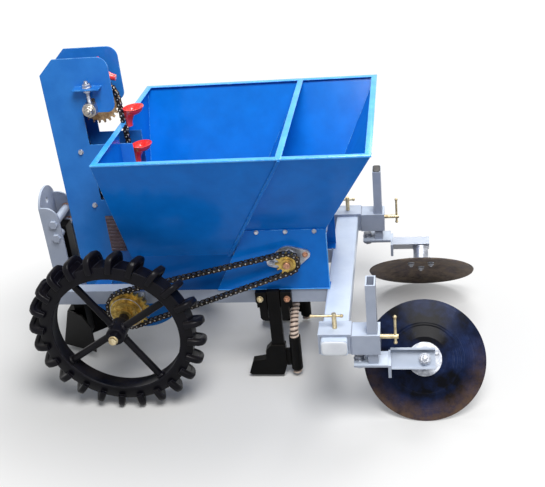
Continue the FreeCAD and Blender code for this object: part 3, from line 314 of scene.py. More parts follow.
def raise_bump(tree, shader, height, strength, distance, normal=None):
    """Bump the shader's normal by a height, on top of another normal where one is given."""
    node = add(tree, "ShaderNodeBump", inputs={"Strength": strength, "Distance": distance})
    feed(tree, height, node.inputs["Height"])
    if normal is not None:
        feed(tree, normal, node.inputs["Normal"])
    feed(tree, node.outputs[0], shader.inputs["Normal"])


print("mid grey 128 in linear light:", round(linear(128, 128, 128)[0], 4))

# %% How a paint is made
DRY_SOIL = (0.34, 0.30, 0.25, 1)
DUST_AND_SHEEN_ROUGHENS = 0.45


def painted(name, colour, deep, edge, roughness=0.3, coat=0.0, waves=1.0, specular=0.1,
            edge_amount=0.8, edge_radius=0.0015, dust_and_sheen_amount=0.05, dust_and_sheen_colour=DRY_SOIL,
            evenness=0.0):
    """Colour = deep to colour by patches, then to the edge tone where rubbed (wear and a painted edge highlight),
    then to the dust colour (dust, or on the frame a painted sheen).
    """
    material, tree, shader = new_material(name)
    edges = place_group(tree, rubbed_and_highlit_edge_group, Radius=edge_radius, Amount=edge_amount)
    dust_and_sheen = place_group(tree, dust_and_sheen_group, Amount=dust_and_sheen_amount, Evenness=evenness)
    film = place_group(tree, film_group, Waves=waves)
    body = mix(tree, ramp(tree, film["Patches"], 0.35, 0.68), deep, colour)
    rubbed_and_highlit = mix(tree, edges["Mask"], body, edge)
    feed(tree, mix(tree, dust_and_sheen["Mask"], rubbed_and_highlit, dust_and_sheen_colour), shader.inputs["Base Color"])
    dull = remap(tree, dust_and_sheen["Mask"], 0.0, 1.0, roughness, roughness + DUST_AND_SHEEN_ROUGHENS)
    feed(tree, dull, shader.inputs["Roughness"])
    raise_bump(tree, shader, film["Height"], 0.12, 0.004, edges["Normal"])
    set_sockets(shader, Coat_Weight=coat, Coat_Roughness=0.08, Specular_IOR_Level=specular)
    return material


# %% Paints
# The light edge tones of these paints are rubbed wear together with a painted edge highlight.
hopper_blue = painted("hopper_blue", linear(10, 116, 212), linear(6, 106, 198),
                      linear(120, 204, 250), roughness=0.18, coat=0.05, waves=2.0,
                      edge_amount=1.0, edge_radius=0.0022, dust_and_sheen_amount=0.02)
# The skirts get a darker copy of the hopper's blue: painted shade, so that they match the shaded sloping wall.
skirt_blue = painted("skirt_blue", linear(7, 86, 164), linear(5, 78, 152), linear(60, 150, 230),
                     coat=0.02, waves=2.0, edge_amount=0.3, dust_and_sheen_amount=0.02)
elevator_blue = painted("elevator_blue", linear(44, 122, 204), linear(34, 110, 192),
                        linear(120, 196, 248), roughness=0.24, coat=0.06, specular=0.14,
                        edge_amount=0.9, edge_radius=0.0022, dust_and_sheen_amount=0.04)
# The rims and hems get a lighter blue than the hopper: a painted highlight of the sky they face.
rim_blue = painted("rim_blue", linear(70, 170, 244), linear(44, 148, 234), linear(170, 226, 252),
                   roughness=0.22, coat=0.2, specular=0.3, dust_and_sheen_amount=0.04)
# The frame's bluish-white dust colour, laid evenly on faces that look up, is a painted sheen of the sky on the
# tops of rails and sleeves, with a little dust.
frame_grey = painted("frame_grey", linear(152, 160, 178), linear(140, 149, 168),
                     linear(222, 230, 240), coat=0.15, specular=0.4, dust_and_sheen_amount=0.7,
                     dust_and_sheen_colour=linear(222, 234, 248), evenness=0.7)
# The crossbar gets a lighter copy of the frame's paint: a painted highlight for its sky-lit top.
bar_grey = painted("bar_grey", linear(208, 220, 236), linear(196, 209, 228), linear(232, 240, 250),
                   coat=0.15, specular=0.4, edge_amount=0.5)
wheel_black = painted("wheel_black", linear(13, 12, 20), linear(7, 7, 12), linear(64, 66, 78),
                      coat=0.03, edge_amount=0.7)
opener_black = painted("opener_black", linear(11, 10, 11), linear(6, 6, 7), linear(60, 56, 52),
                       roughness=0.34, specular=0.08, edge_amount=0.6)
# The guard's bluish-white edge tone is a painted highlight on the ribs' edges as well as rubbed wear.
guard_brown = painted("guard_brown", linear(112, 94, 98), linear(84, 66, 68), linear(176, 184, 210),
                      roughness=0.4, specular=0.2, dust_and_sheen_amount=0.1)
weld_steel = painted("weld_steel", linear(150, 158, 176), linear(118, 126, 146),
                     linear(220, 224, 232), coat=0.1, specular=0.4, edge_amount=0.3,
                     dust_and_sheen_amount=0.1)
print("paints made:", len(bpy.data.materials))

# %% [markdown]
# ## Bare and plated steel
# Sprockets are yellow zinc, bearings and most bolts white zinc, screws a brassy zinc, and chains
# oiled steel. Metal could be a grey paint, but it would not mirror its surroundings. So these are
# fully metallic: blotches in roughness and tint break the mirror up, and fine spots add grime and
# a slight bump.


# %% How a metal is made
GRIME = (0.05, 0.04, 0.03, 1)


def plated(name, colour, second, edge, roughness=0.32, grime=0.3):
    """Metal whose colour goes from colour to second by blotches, to edge where rubbed, to grime."""
    material, tree, shader = new_material(name)
    blotches, spots = noise(tree, 70.0, 5.0, 0.6), noise(tree, 260.0, 3.0)
    edges = place_group(tree, rubbed_and_highlit_edge_group, Radius=0.0008, Amount=0.6)
    tinted = mix(tree, ramp(tree, blotches, 0.4, 0.65), colour, second)
    rubbed_and_highlit = mix(tree, edges["Mask"], tinted, edge)
    dirt = calculate(tree, "MULTIPLY", ramp(tree, spots, 0.5, 0.72), grime)
    feed(tree, mix(tree, dirt, rubbed_and_highlit, GRIME), shader.inputs["Base Color"])
    dull = remap(tree, blotches, 0.0, 1.0, roughness, roughness + 0.3)
    feed(tree, dull, shader.inputs["Roughness"])
    raise_bump(tree, shader, spots, 0.15, 0.0006, edges["Normal"])
    set_sockets(shader, Metallic=1.0)
    return material


# %% Metals
yellow_zinc = plated("yellow_zinc", linear(206, 178, 100), linear(148, 122, 70),
                     linear(236, 222, 168), grime=0.45)
white_zinc = plated("white_zinc", linear(196, 200, 208), linear(150, 154, 164),
                    linear(240, 240, 244))
brass_zinc = plated("brass_zinc", linear(214, 200, 164), linear(176, 158, 124),
                    linear(240, 232, 208))
rusty_steel = plated("rusty_steel", linear(196, 166, 128), linear(150, 118, 84),
                     linear(226, 206, 172), roughness=0.45, grime=0.4)
copper_steel = plated("copper_steel", linear(204, 156, 128), linear(160, 116, 94),
                      linear(232, 184, 150))
oiled_steel = plated("oiled_steel", linear(60, 56, 54), linear(30, 27, 26), linear(150, 146, 140),
                     roughness=0.3, grime=0.5)
pin_steel = plated("pin_steel", linear(186, 182, 176), linear(136, 130, 124), linear(220, 216, 210),
                   roughness=0.22, grime=0.25)
print("paints and metals made:", len(bpy.data.materials))

# %% [markdown]
# ## Disc paint
# A ridging disc is dipped in blue-black paint, scratched in rings as it turns, and browned by
# soil. The colours could be painted on each point of the mesh. Here the distance from the disc's
# centre gives them at any fineness: noise that reads only the distance makes rings, and a band of
# distance makes a soiled rim.


# %% How the disc paint is made
def disc_finish(name, centre, soiling, soil_colour):
    """Soil mask = (at the rim * low down + soiling) * crumbs, over ringed and scratched paint."""
    material, tree, shader = new_material(name)
    from_centre = calculate_vector(tree, "SUBTRACT", here(tree), tuple(centre))
    distance = calculate_vector(tree, "LENGTH", from_centre)
    ring_noise = add(tree, "ShaderNodeTexNoise", noise_dimensions="1D",
                     inputs={"Scale": 900.0, "Detail": 3.0})
    feed(tree, distance, ring_noise.inputs["W"])
    rings, blotches = ring_noise.outputs[0], noise(tree, 11.0, 6.0, 0.65)
    paint = mix(tree, ramp(tree, blotches, 0.38, 0.64), linear(7, 8, 14), linear(24, 38, 74))
    scratches = calculate(tree, "MULTIPLY", ramp(tree, rings, 0.6, 0.7, high=0.35),
                          ramp(tree, blotches, 0.5, 0.7))
    scratched = mix(tree, scratches, paint, linear(130, 138, 156))
    at_rim = remap(tree, distance, 0.11, 0.165)
    low_down = remap(tree, height_of(tree, from_centre), 0.04, -0.1)
    band = calculate(tree, "MULTIPLY", at_rim, low_down)
    spread = calculate(tree, "ADD", band, soiling, clamp=True)
    crumbs = ramp(tree, noise(tree, 34.0, 9.0, 0.75), 0.36, 0.6, low=0.3)
    soil = calculate(tree, "MULTIPLY", spread, crumbs, clamp=True)
    feed(tree, mix(tree, soil, scratched, soil_colour), shader.inputs["Base Color"])
    feed(tree, remap(tree, soil, 0.0, 1.0, 0.3, 0.65), shader.inputs["Roughness"])
    raise_bump(tree, shader, rings, 0.1, 0.001)
    set_sockets(shader, Specular_IOR_Level=0.05, Coat_Weight=0.02, Coat_Roughness=0.06)
    return material


# %% Paint of both discs
disc_centres = {side: joint_place(side + "_disc_spin") for side in ("left", "right")}
disc_axes = {side: np.array(joints[side + "_disc_spin"]["axis"]) for side in ("left", "right")}
disc_paint = {"left": disc_finish("left_disc_paint", disc_centres["left"], 0.0, linear(88, 70, 58)),
              "right": disc_finish("right_disc_paint", disc_centres["right"], 1.0,
                                   linear(124, 110, 98))}
print("left disc centre, metres:", disc_centres["left"].round(4).tolist())

# %% [markdown]
# ## Plastics
# The seed cups are red moulded plastic, the hoses pale and ribbed. Paint would do for a look from far off, but
# light enters thin plastic a little, so the cups get some subsurface scattering. The grooves of a hose get a
# painted shade: a number stored on each of its points says how high the ridge is there, and the colour darkens
# where it is low.


# %% How a plastic is made
def moulded(name, colour, deep, roughness, subsurface=0.0, coat=0.0):
    """Plastic whose colour drifts between two tones under a thin dust."""
    material, tree, shader = new_material(name)
    film = place_group(tree, film_group, Waves=0.3)
    dust_and_sheen = place_group(tree, dust_and_sheen_group, Amount=0.1)
    body = mix(tree, ramp(tree, film["Patches"], 0.35, 0.65), deep, colour)
    feed(tree, mix(tree, dust_and_sheen["Mask"], body, (0.4, 0.33, 0.26, 1)), shader.inputs["Base Color"])
    raise_bump(tree, shader, film["Height"], 0.1, 0.002)
    set_sockets(shader, Roughness=roughness, Subsurface_Weight=subsurface, Coat_Weight=coat)
    return material


def paint_groove_shade(material, colour):
    """Painted shade in the grooves: where the piece's own `ridge` attribute is low, the base colour turns to a
    darker one.
    """
    tree = material.node_tree
    base = tree.nodes["Principled BSDF"].inputs["Base Color"]
    ridge = add(tree, "ShaderNodeAttribute", attribute_name="ridge")
    shown = ramp(tree, ridge.outputs["Fac"], 0.15, 0.6)
    feed(tree, mix(tree, shown, colour, base.links[0].from_socket), base)


# %% Plastics
cup_red = moulded("cup_red", linear(244, 66, 58), linear(228, 44, 42), 0.24, subsurface=0.1,
                  coat=0.4)
hose_plastic = moulded("hose_plastic", linear(214, 196, 182), linear(190, 168, 152), 0.35)
# The grooves' dark brown is painted shade.
paint_groove_shade(hose_plastic, linear(66, 48, 40))
rotor_black = moulded("rotor_black", linear(30, 30, 32), linear(20, 20, 22), 0.5)
cap_plastic = moulded("cap_plastic", linear(222, 226, 232), linear(204, 208, 216), 0.35)
print("all finishes made:", len(bpy.data.materials))

# %% [markdown]
# ## Finishes on the CAD pieces
# The record names a slot for each CAD node, such as frame_grey. One table gives each slot its
# material, which is easier to keep right than a line for each node. Three kinds of piece then
# differ from their slot: the far disc, the rusty head sprocket and the clamp screws.

# %% Finishes on the CAD pieces
finishes = {
    "blue_sheet": hopper_blue, "elevator_blue": elevator_blue, "frame_grey": frame_grey,
    "wheel_black": wheel_black, "opener_black": opener_black, "disc_dark": disc_paint["left"],
    "chain_steel": oiled_steel, "zinc_yellow": yellow_zinc, "zinc_white": white_zinc,
    "cup_red": cup_red, "hose_grey": hose_plastic, "rotor_black": rotor_black,
}
for part in frame["record"]["subparts"]:
    mesh = nodes[part["node"]].data
    mesh.materials.clear()
    mesh.materials.append(finishes[part["material_slot"]])
nodes["right_disc"].data.materials[0] = disc_paint["right"]
nodes["elevator_head_sprocket"].data.materials[0] = rusty_steel
for name in nodes:
    if name.endswith("_screw"):
        nodes[name].data.materials[0] = brass_zinc

# %% [markdown]
# ## Surfaces from grids
# Bolts, chains, cups, hoses and weld beads are all grids of points: a profile turned about an
# axis, or an outline carried along a path. Blender's own Screw and Curve tools make such shapes
# too. numpy works out a grid, and all its copies, in one go from a formula that can be read, so
# every new piece is made in this way. One function turns grids into a closed mesh.


# %% Directions and outlines
NEAR, FAR, UP, DOWN, BACK = (0, -1, 0), (0, 1, 0), (0, 0, 1), (0, 0, -1), (1, 0, 0)
MIRROR = np.array((1, -1, 1))
SIDES = (("left", -1), ("right", 1))


def unit(vector):
    """The vector, or each row of vectors, divided by its length."""
    vector = np.array(vector, float)
    return vector / np.linalg.norm(vector, axis=-1, keepdims=True)


def square_to(axis):
    """Two unit directions square to an axis and to each other, by cross products."""
    axis = unit(axis)
    first = unit(np.cross((0.0, 0.0, 1.0) if abs(axis[2]) < 0.9 else (1.0, 0.0, 0.0), axis))
    return first, np.cross(axis, first)


def full_turn(count, start=0.0):
    """Angles evenly round a full turn: start + 2 * pi * k / count."""
    return start + np.arange(count) * 2 * np.pi / count


def soft_box(across, up, corner, points=4):
    """Outline of a rectangle whose corners are quarter circles."""
    quarter = np.linspace(0, np.pi / 2, points)
    angle = (quarter + np.arange(4)[:, None] * np.pi / 2).ravel()
    signs = np.repeat([(1, 1), (-1, 1), (-1, -1), (1, -1)], points, axis=0)
    arcs = corner * np.stack([np.cos(angle), np.sin(angle)], axis=1)
    return signs * (across / 2 - corner, up / 2 - corner) + arcs


def round_outline(radius):
    """Outline with a radius of its own at each angle: (radius * cos t, radius * sin t)."""
    angle = full_turn(radius.shape[-1])
    return np.stack([radius * np.cos(angle), radius * np.sin(angle)], axis=-1)


print("a soft box's outline has", len(soft_box(0.02, 0.02, 0.004)), "points")


# %% Turned and swept grids
def turned(profile, centres, axis, sides=24, phase=0.0, ripple=0.0, waves=9):
    """(along, radius) turned about an axis: point = centre + axis * along + radius * (first *
    cos t + second * sin t), the radius swelling by `ripple` in `waves` waves round the axis."""
    profile = np.array(profile, float)
    first, second = square_to(axis)
    angle = full_turn(sides, phase)
    ring = np.cos(angle)[:, None] * first + np.sin(angle)[:, None] * second
    ring = ring * (1 + ripple * np.sin(waves * angle))[:, None]
    shape = profile[:, 0, None, None] * unit(axis) + profile[:, 1, None, None] * ring
    return np.array(centres, float).reshape(-1, 1, 1, 3) + shape


def swept(path, outline, side):
    """Outline of (across, up) carried along a path: point = path + across * sideways + up *
    upward, where sideways is `side` made square to the path. The outline may change by row."""
    path, outline, side = (np.array(values, float) for values in (path, outline, side))
    outline = outline if outline.ndim == 3 else outline[None]
    travel = unit(np.gradient(path, axis=0))
    sideways = unit(side - (travel @ side)[:, None] * travel)
    upward = np.cross(travel, sideways)
    across = outline[..., :1] * sideways[:, None]
    return path[:, None] + across + outline[..., 1:] * upward[:, None]


tube = turned([(0.0, 0.01), (0.1, 0.01)], [(0, 0, 0), (0, 0, 1)], UP)
print("two turned tubes have (copies, rows, columns, 3) of", tube.shape)


# %% Meshes into the scene
def stand(name, mesh, body, slot, *replaced):
    """Put a finished mesh into the scene, on its body and in the place of the CAD nodes named."""
    piece = bpy.data.objects.new(name, mesh)
    bpy.context.scene.collection.objects.link(piece)
    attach(piece, body)
    if replaced:
        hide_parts(*replaced)
    print(name, len(mesh.polygons), "faces on", body)
    return piece


# %% Grids to meshes
def grid_faces(rows, columns, is_loop):
    """Squares between next rows and next columns. Columns always close into rings; rows do too in
    a loop, and otherwise the first and the last ring get a cap each."""
    index = np.arange(rows * columns).reshape(rows, columns)
    around = np.roll(index, -1, axis=1)
    ahead, ahead_around = np.roll(index, -1, axis=0), np.roll(around, -1, axis=0)
    squares = np.stack([index, around, ahead_around, ahead], axis=-1)
    if is_loop:
        return squares.reshape(-1, 4), []
    return squares[:-1].reshape(-1, 4), [index[0, ::-1], index[-1]]


def put(name, grids, material, body, slot, *replaced, sharp=35, loops=()):
    """One mesh from grids of shape (..., rows, columns, 3), and from `loops`, whose last row joins
    the first. Edges over `sharp` degrees stay crisp, and faces are turned outwards."""
    points, faces, start = [], [], 0
    for is_loop, grid in [(False, grid) for grid in grids] + [(True, loop) for loop in loops]:
        rows, columns = grid.shape[-3:-1]
        squares, caps = grid_faces(rows, columns, is_loop)
        copies = grid.size // (rows * columns * 3)
        starts = start + np.arange(copies)[:, None] * rows * columns
        faces += (starts[..., None] + squares).reshape(-1, 4).tolist()
        for cap in caps:
            faces += (starts + cap).tolist()
        points.append(grid.reshape(-1, 3))
        start += copies * rows * columns
    mesh = bpy.data.meshes.new(name)
    mesh.from_pydata(np.concatenate(points).tolist(), [], faces)
    skin = bmesh.new()
    skin.from_mesh(mesh)
    bmesh.ops.recalc_face_normals(skin, faces=skin.faces)
    skin.to_mesh(mesh)
    skin.free()
    mesh.shade_smooth()
    mesh.set_sharp_from_angle(angle=math.radians(sharp))
    mesh.materials.append(material)
    return stand(name, mesh, body, slot, *replaced)


# %% [markdown]
# ## Bolts
# A bolt in sheet metal shows three things: a washer, a hexagon with its corners turned off, and
# on a nut the rounded end of the stud. A cylinder of six sides could stand for the head, but its
# edges would be as sharp as a knife's. Turned profiles give the small bevels that catch light, and
# a hexagon is just a profile turned in six sides.


# %% How a bolt is made
def bolt(centres, axis, across, stud=0.0, phase=0.2):
    """Washer, hexagon and stud at each centre; `across` is the hexagon's width, and every other
    size of the head is a share of it."""
    corner = across / math.sqrt(3)
    washer = [(0, corner * 1.12), (across * 0.09, corner * 1.12), (across * 0.12, corner * 1.06)]
    head = [(across * 0.1, corner * 0.93), (across * 0.16, corner), (across * 0.46, corner),
            (across * 0.52, corner * 0.86)]
    shapes = [turned(washer, centres, axis, 20), turned(head, centres, axis, 6, phase)]
    if stud:
        tip = [(across * 0.5, corner * 0.5), (across * 0.5 + stud, corner * 0.5),
               (across * 0.56 + stud, corner * 0.36), (across * 0.58 + stud, corner * 0.12)]
        shapes.append(turned(tip, centres, axis, 14))
    return shapes


def bolts_both_sides(centres, *size):
    """Bolts that face the left at each centre, and their mirror images that face the right."""
    centres = np.reshape(centres, (-1, 3))
    return bolt(centres, NEAR, *size) + bolt(centres * MIRROR, FAR, *size)


def thread(foot, axis, length, radius, pitch=0.00175):
    """Screw thread drawn as rings: the radius steps between crest and root every half pitch."""
    along = np.arange(0, length, pitch / 2)
    radii = np.where(np.arange(len(along)) % 2 == 0, radius, radius * 0.88)
    return turned(np.stack([along, radii], axis=1), foot, axis, 16)


print("parts of a bolt with a stud:", len(bolt((0, 0, 0), UP, 0.010, stud=0.004)))


# %% Bolts in the hopper's side panels and in the elevator
BOLTS_FROM_REAR, BOLTS_BELOW_TOP = (0.0334, 0.1139, 0.1955), 0.0055
panel_low, panel_high = low_high("left_side_panel")
panel_bolts = [(panel_high[0] - distance, panel_low[1], panel_high[2] - BOLTS_BELOW_TOP)
               for distance in BOLTS_FROM_REAR]
put("side_panel_bolts", bolts_both_sides(panel_bolts, 0.010), white_zinc, "chassis", "zinc_white")

PLATE_FACE = -0.050
plate_front = low_high("left_elevator_plate")[0][0]
plate_bolts = [(plate_front + 0.0722, PLATE_FACE, 0.7107),
               (plate_front + 0.0803, PLATE_FACE, 0.5426)]
put("elevator_plate_bolts", bolts_both_sides(plate_bolts, 0.012), white_zinc, "chassis",
    "zinc_white")

# %% [markdown]
# ## Elevator head
# The elevator's two side plates end in a head with round corners. On the machine the head is a
# little narrower than on the CAD plates. The plate could be drawn again, but its outline is good,
# so a copy of its mesh is kept and only the points of the head's rear edge move forward.

# %% Elevator head
HEAD_MIDDLE_X, HEAD_FOOT_Z, NARROWER = -0.339, 0.820, 0.017


def narrowed_plate(side):
    """Copy of a side plate: x' = x - 17 mm behind the head's middle and above its foot."""
    node = side + "_elevator_plate"
    mesh = nodes[node].data.copy()
    points = np.empty(len(mesh.vertices) * 3)
    mesh.vertices.foreach_get("co", points)
    points = points.reshape(-1, 3)
    points[(points[:, 0] > HEAD_MIDDLE_X) & (points[:, 2] > HEAD_FOOT_Z), 0] -= NARROWER
    mesh.vertices.foreach_set("co", points.ravel())
    mesh.update()
    stand(side + "_head_plate", mesh, "chassis", "elevator_blue", node)


narrowed_plate("left")
narrowed_plate("right")

# %% [markdown]
# ## Opener and bearing bolts
# Each fertilizer opener hangs by two bolts in its ears. Each bearing is held by two more: in the
# ears of the oval flanges on the fertilizer shaft, and in the upper corners of the axle's
# bearings. Their places could be read off the CAD model one by one. They are worked out from a
# piece's box instead, with the angle at which the oval flange is fitted, so that both sides agree.
# A few bolts are of another make, with a brass or copper tone.

# %% Bolts in the openers' ears
EAR_FACE, BOLT_BELOW_EAR_TOP, EAR_BOLT = -0.150, 0.0255, (0.015, 0.004)
ear_height = low_high("left_fertilizer_opener")[1][2] - BOLT_BELOW_EAR_TOP
for name, x, finish in (("opener_front_bolts", 0.0336, brass_zinc),
                        ("opener_rear_bolts", 0.1120, copper_steel)):
    put(name, bolts_both_sides((x, EAR_FACE, ear_height), *EAR_BOLT), finish, "chassis",
        "zinc_yellow")

# %% Bearing bolts
EAR_REACH, EAR_TURN, FLANGE_STEP = 0.050, math.radians(14), 0.007
AXLE_BOLT_INSET, AXLE_FLANGE_STEP = 0.010, 0.008
BEARING_BOLT = (0.013, 0.003)

arm = np.array((math.cos(EAR_TURN), 0, math.sin(EAR_TURN))) * EAR_REACH
shaft_ears = middle("left_shaft_bearing") + np.array((arm, -arm))
shaft_ears[:, 1] = low_high("left_shaft_bearing")[1][1] - FLANGE_STEP
put("bearing_ear_bolt", bolt(shaft_ears[:1], NEAR, *BEARING_BOLT), copper_steel, "chassis",
    "zinc_yellow")
put("bearing_ear_bolts", bolt(shaft_ears[1:], NEAR, *BEARING_BOLT)
    + bolt(shaft_ears * MIRROR, FAR, *BEARING_BOLT), white_zinc, "chassis", "zinc_white")

axle_low, axle_high = low_high("left_axle_bearing")
axle_bolts = [(x, axle_high[1] - AXLE_FLANGE_STEP, axle_high[2] - AXLE_BOLT_INSET)
              for x in (axle_low[0] + AXLE_BOLT_INSET, axle_high[0] - AXLE_BOLT_INSET)]
put("axle_bearing_bolts", bolts_both_sides(axle_bolts, *BEARING_BOLT), white_zinc, "chassis",
    "zinc_white")

# %% [markdown]
# ## Roller chains
# A chain is two kinds of link in turn. Each link is a pair of plates with a waist, and rollers on
# pins join them. An array along a curve would bend the plates. Here the pins lie on the two pitch
# circles and on the straight runs between them, and every plate is one outline moved to its link.


# %% Chain paths
PITCH = 0.015875


def pitch_radius(teeth):
    """The pins of a chain lie on a circle of radius pitch / (2 * sin(pi / teeth))."""
    return PITCH / (2 * math.sin(math.pi / teeth))


def half_circle(centre, teeth, first):
    """Pins on half a pitch circle: centre + radius * (cos a, sin a), a tooth apart."""
    angle = first + np.arange(teeth // 2 + 1) * 2 * np.pi / teeth
    return np.array(centre) + pitch_radius(teeth) * np.stack([np.cos(angle), np.sin(angle)], axis=1)


def pin_places(start, start_teeth, end, end_teeth, span):
    """Pin centres (x, z) round two sprockets: two half circles, and `span` links between them on
    each side, at even shares of the straight run."""
    line = math.atan2(end[1] - start[1], end[0] - start[0])
    lower = half_circle(start, start_teeth, line + math.pi / 2)
    upper = half_circle(end, end_teeth, line - math.pi / 2)
    share = np.arange(1, span)[:, None] / span
    out = lower[-1] + (upper[0] - lower[-1]) * share
    home = upper[-1] + (lower[0] - upper[-1]) * share
    return np.concatenate([lower, out, upper, home])


print("pitch circles of 24 and 12 teeth, metres:", round(pitch_radius(24), 4),
      round(pitch_radius(12), 4))


# %% Link plates
OUTER_LINK, INNER_LINK = (0.0072, 0.0068, 0.0088), (0.0066, 0.0048, 0.0067)
WAIST = 0.66


def plate_outline(height, points=7):
    """Outline of a link plate: an arc about each pin, with the plate drawn in between them."""
    arc = np.linspace(math.radians(125), math.radians(235), points)
    back = np.stack([height * np.cos(arc), height * np.sin(arc)], axis=1)
    front = np.stack([PITCH - height * np.cos(arc), -height * np.sin(arc)], axis=1)
    waist = height * WAIST
    return np.concatenate([back, [(PITCH / 2, -waist)], front, [(PITCH / 2, waist)]])


def link_plates(places, following, height, inner, outer):
    """Both plates of each link: corner = pin + along * travel + across * square, at two depths."""
    outline = plate_outline(height)
    travel = unit(following - places)
    square = np.stack([-travel[:, 1], travel[:, 0]], axis=1)
    flat = places[:, None] + outline[:, :1] * travel[:, None] + outline[:, 1:] * square[:, None]
    grids = []
    for depths in ((inner, outer), (-outer, -inner)):
        layers = [np.stack([flat[..., 0], np.full(flat.shape[:2], depth), flat[..., 1]], axis=-1)
                  for depth in depths]
        grids.append(np.stack(layers, axis=1))
    return grids


print("points round a link plate:", len(plate_outline(OUTER_LINK[0])))

# %% Rollers, pins and the whole chain
ROLLER = [(-0.0047, 0.0050), (0.0047, 0.0050)]
PIN = [(-0.0098, 0.0016), (-0.0094, 0.0024), (0.0094, 0.0024), (0.0098, 0.0016)]


def roller_chain(name, places, depth, node):
    """Plates as one piece and pins with rollers as another; `depth` is the chain's Y."""
    following = np.roll(places, -1, axis=0)
    plates = link_plates(places[::2], following[::2], *OUTER_LINK)
    plates += link_plates(places[1::2], following[1::2], *INNER_LINK)
    plates = [grid + np.array((0, depth, 0)) for grid in plates]
    put(name, plates, oiled_steel, "chassis", "chain_steel", node)
    centres = np.stack([places[:, 0], np.full(len(places), depth), places[:, 1]], axis=1)
    put(name + "_pins", [turned(ROLLER, centres, FAR, 12), turned(PIN, centres, FAR, 8)], pin_steel,
        "chassis", "chain_steel")


# %% Drive chain and elevator chain
axle_place = np.array((middle("wheel_axle")[0], joint_place("wheel_roll")[2]))
shaft_place = joint_place("metering_spin")[[0, 2]]
head_place = joint_place("elevator_head_spin")[[0, 2]]
drive_depth = middle("drive_chain")[1]
drive_places = pin_places(axle_place, 24, shaft_place, 12, 32)
elevator_places = pin_places(axle_place, 24, head_place, 24, 37)
print("links:", len(drive_places), "in the drive chain,", len(elevator_places), "with the cups")
roller_chain("drive_chain_links", drive_places, drive_depth, "drive_chain")
roller_chain("elevator_chain_links", elevator_places, 0.0, "elevator_chain")

# %% [markdown]
# ## Seed cups
# Each cup is a red moulded funnel: a wide bowl with a rolled rim on a short tapering stem that is
# held to the chain. A thin surface would need a thickness from a modifier. This profile runs from
# the stem's tip up to the rim, turns over and goes down the inside to a rounded floor, so the
# wall is closed. The back stays at one distance from the chain, which makes the funnel lean.


# %% One cup
CUP_RIM, CUP_TIP, CUP_LENGTH, CUP_BACK = 0.0298, 0.0085, 0.054, 0.0074
CUP_SIDES, FIRST_CUP, LINKS_PER_CUP = 36, 5, 7


def cup_grid():
    """Points (out, sideways, along). Outer radius = tip + (rim - tip) * (1 - s) ** 2.1 with s down
    the stem; inside, radius = rim * sqrt(1 - t ** 2.2) with t down the bowl."""
    s = np.linspace(1, 0, 14)
    outer = CUP_TIP + (CUP_RIM - 0.0008 - CUP_TIP) * (1 - s) ** 2.1
    lip = np.array([(0.0032, CUP_RIM), (0.0044, CUP_RIM - 0.0006), (0.0042, CUP_RIM - 0.0022)])
    t = np.linspace(0, 1, 9)[1:]
    bowl = (CUP_RIM - 0.003) * np.sqrt(1 - (t * 0.985) ** 2.2)
    along = np.concatenate([0.004 - CUP_LENGTH * s, lip[:, 0], 0.0036 - 0.021 * t])[:, None]
    radius = np.concatenate([outer, lip[:, 1], bowl])[:, None]
    centre = CUP_BACK + np.concatenate([outer, np.full(len(lip) + len(t), CUP_RIM)])[:, None]
    angle = full_turn(CUP_SIDES)
    return np.stack([centre + radius * np.cos(angle), radius * np.sin(angle),
                     np.repeat(along, CUP_SIDES, axis=1)], axis=-1)


print("one cup is a grid of", cup_grid().shape)


# %% Cups on the chain
def cups_on_chain(grid):
    """Every seventh link carries a cup: point = pin + out * outward + along * travel."""
    chosen = np.arange(FIRST_CUP, len(elevator_places), LINKS_PER_CUP)
    ahead, behind = np.roll(elevator_places, -1, axis=0), np.roll(elevator_places, 1, axis=0)
    travel = unit(ahead[chosen] - behind[chosen])
    outward = np.stack([travel[:, 1], -travel[:, 0]], axis=1)
    pins, outward, travel = (values.reshape(-1, 1, 1, 2)
                             for values in (elevator_places[chosen], outward, travel))
    flat = pins + grid[..., :1] * outward + grid[..., 2:] * travel
    depth = np.broadcast_to(grid[..., 1], flat.shape[:-1])
    return np.stack([flat[..., 0], depth, flat[..., 1]], axis=-1)


put("seed_cup_funnels", [cups_on_chain(cup_grid())], cup_red, "chassis", "cup_red", "seed_cups")

# %% [markdown]
# ## Ribbed hoses
# A wire-wound hose has a ridge that climbs round it like a screw. A plain tube with a bump in its
# material would have a smooth outline, so the ridge is in the mesh. A smooth spline gives the
# centre line, and the tube is thicker wherever distance along, less the turn about the hose, is a
# whole number of ridges.


# %% Centre line of a hose
def hose_line(points):
    """Points along a smooth spline through the hose's route."""
    data = bpy.data.curves.new("hose_route", "CURVE")
    data.dimensions = "3D"
    data.resolution_u = 60
    spline = data.splines.new("NURBS")
    spline.points.add(len(points) - 1)
    spline.points.foreach_set("co", np.c_[points, np.ones(len(points))].ravel())
    spline.order_u = 3
    spline.use_endpoint_u = True
    holder = bpy.data.objects.new("hose_route", data)
    line = bpy.data.meshes.new_from_object(holder)
    path = np.empty(len(line.vertices) * 3)
    line.vertices.foreach_get("co", path)
    bpy.data.objects.remove(holder)
    return path.reshape(-1, 3)


def evenly(path, spacing):
    """The same path with points at even distances, and those distances."""
    run = np.concatenate([[0], np.cumsum(np.linalg.norm(np.diff(path, axis=0), axis=1))])
    even = np.linspace(0, run[-1], int(run[-1] / spacing))
    return np.stack([np.interp(even, run, path[:, k]) for k in range(3)], axis=1), even


# %% Both hoses
HOSE_RADIUS, RIDGE_HEIGHT, RIDGE_PITCH, HOSE_SIDES, HOSE_STEP = 0.0118, 0.0021, 0.0115, 24, 0.0012
TUBE_Y, CLAMP_Z = 0.144, 0.238
CLAMP_BAND = [(-0.0050, 0.0141), (-0.0050, 0.0152), (-0.0042, 0.0156),
              (0.0042, 0.0156), (0.0050, 0.0152), (0.0050, 0.0141)]


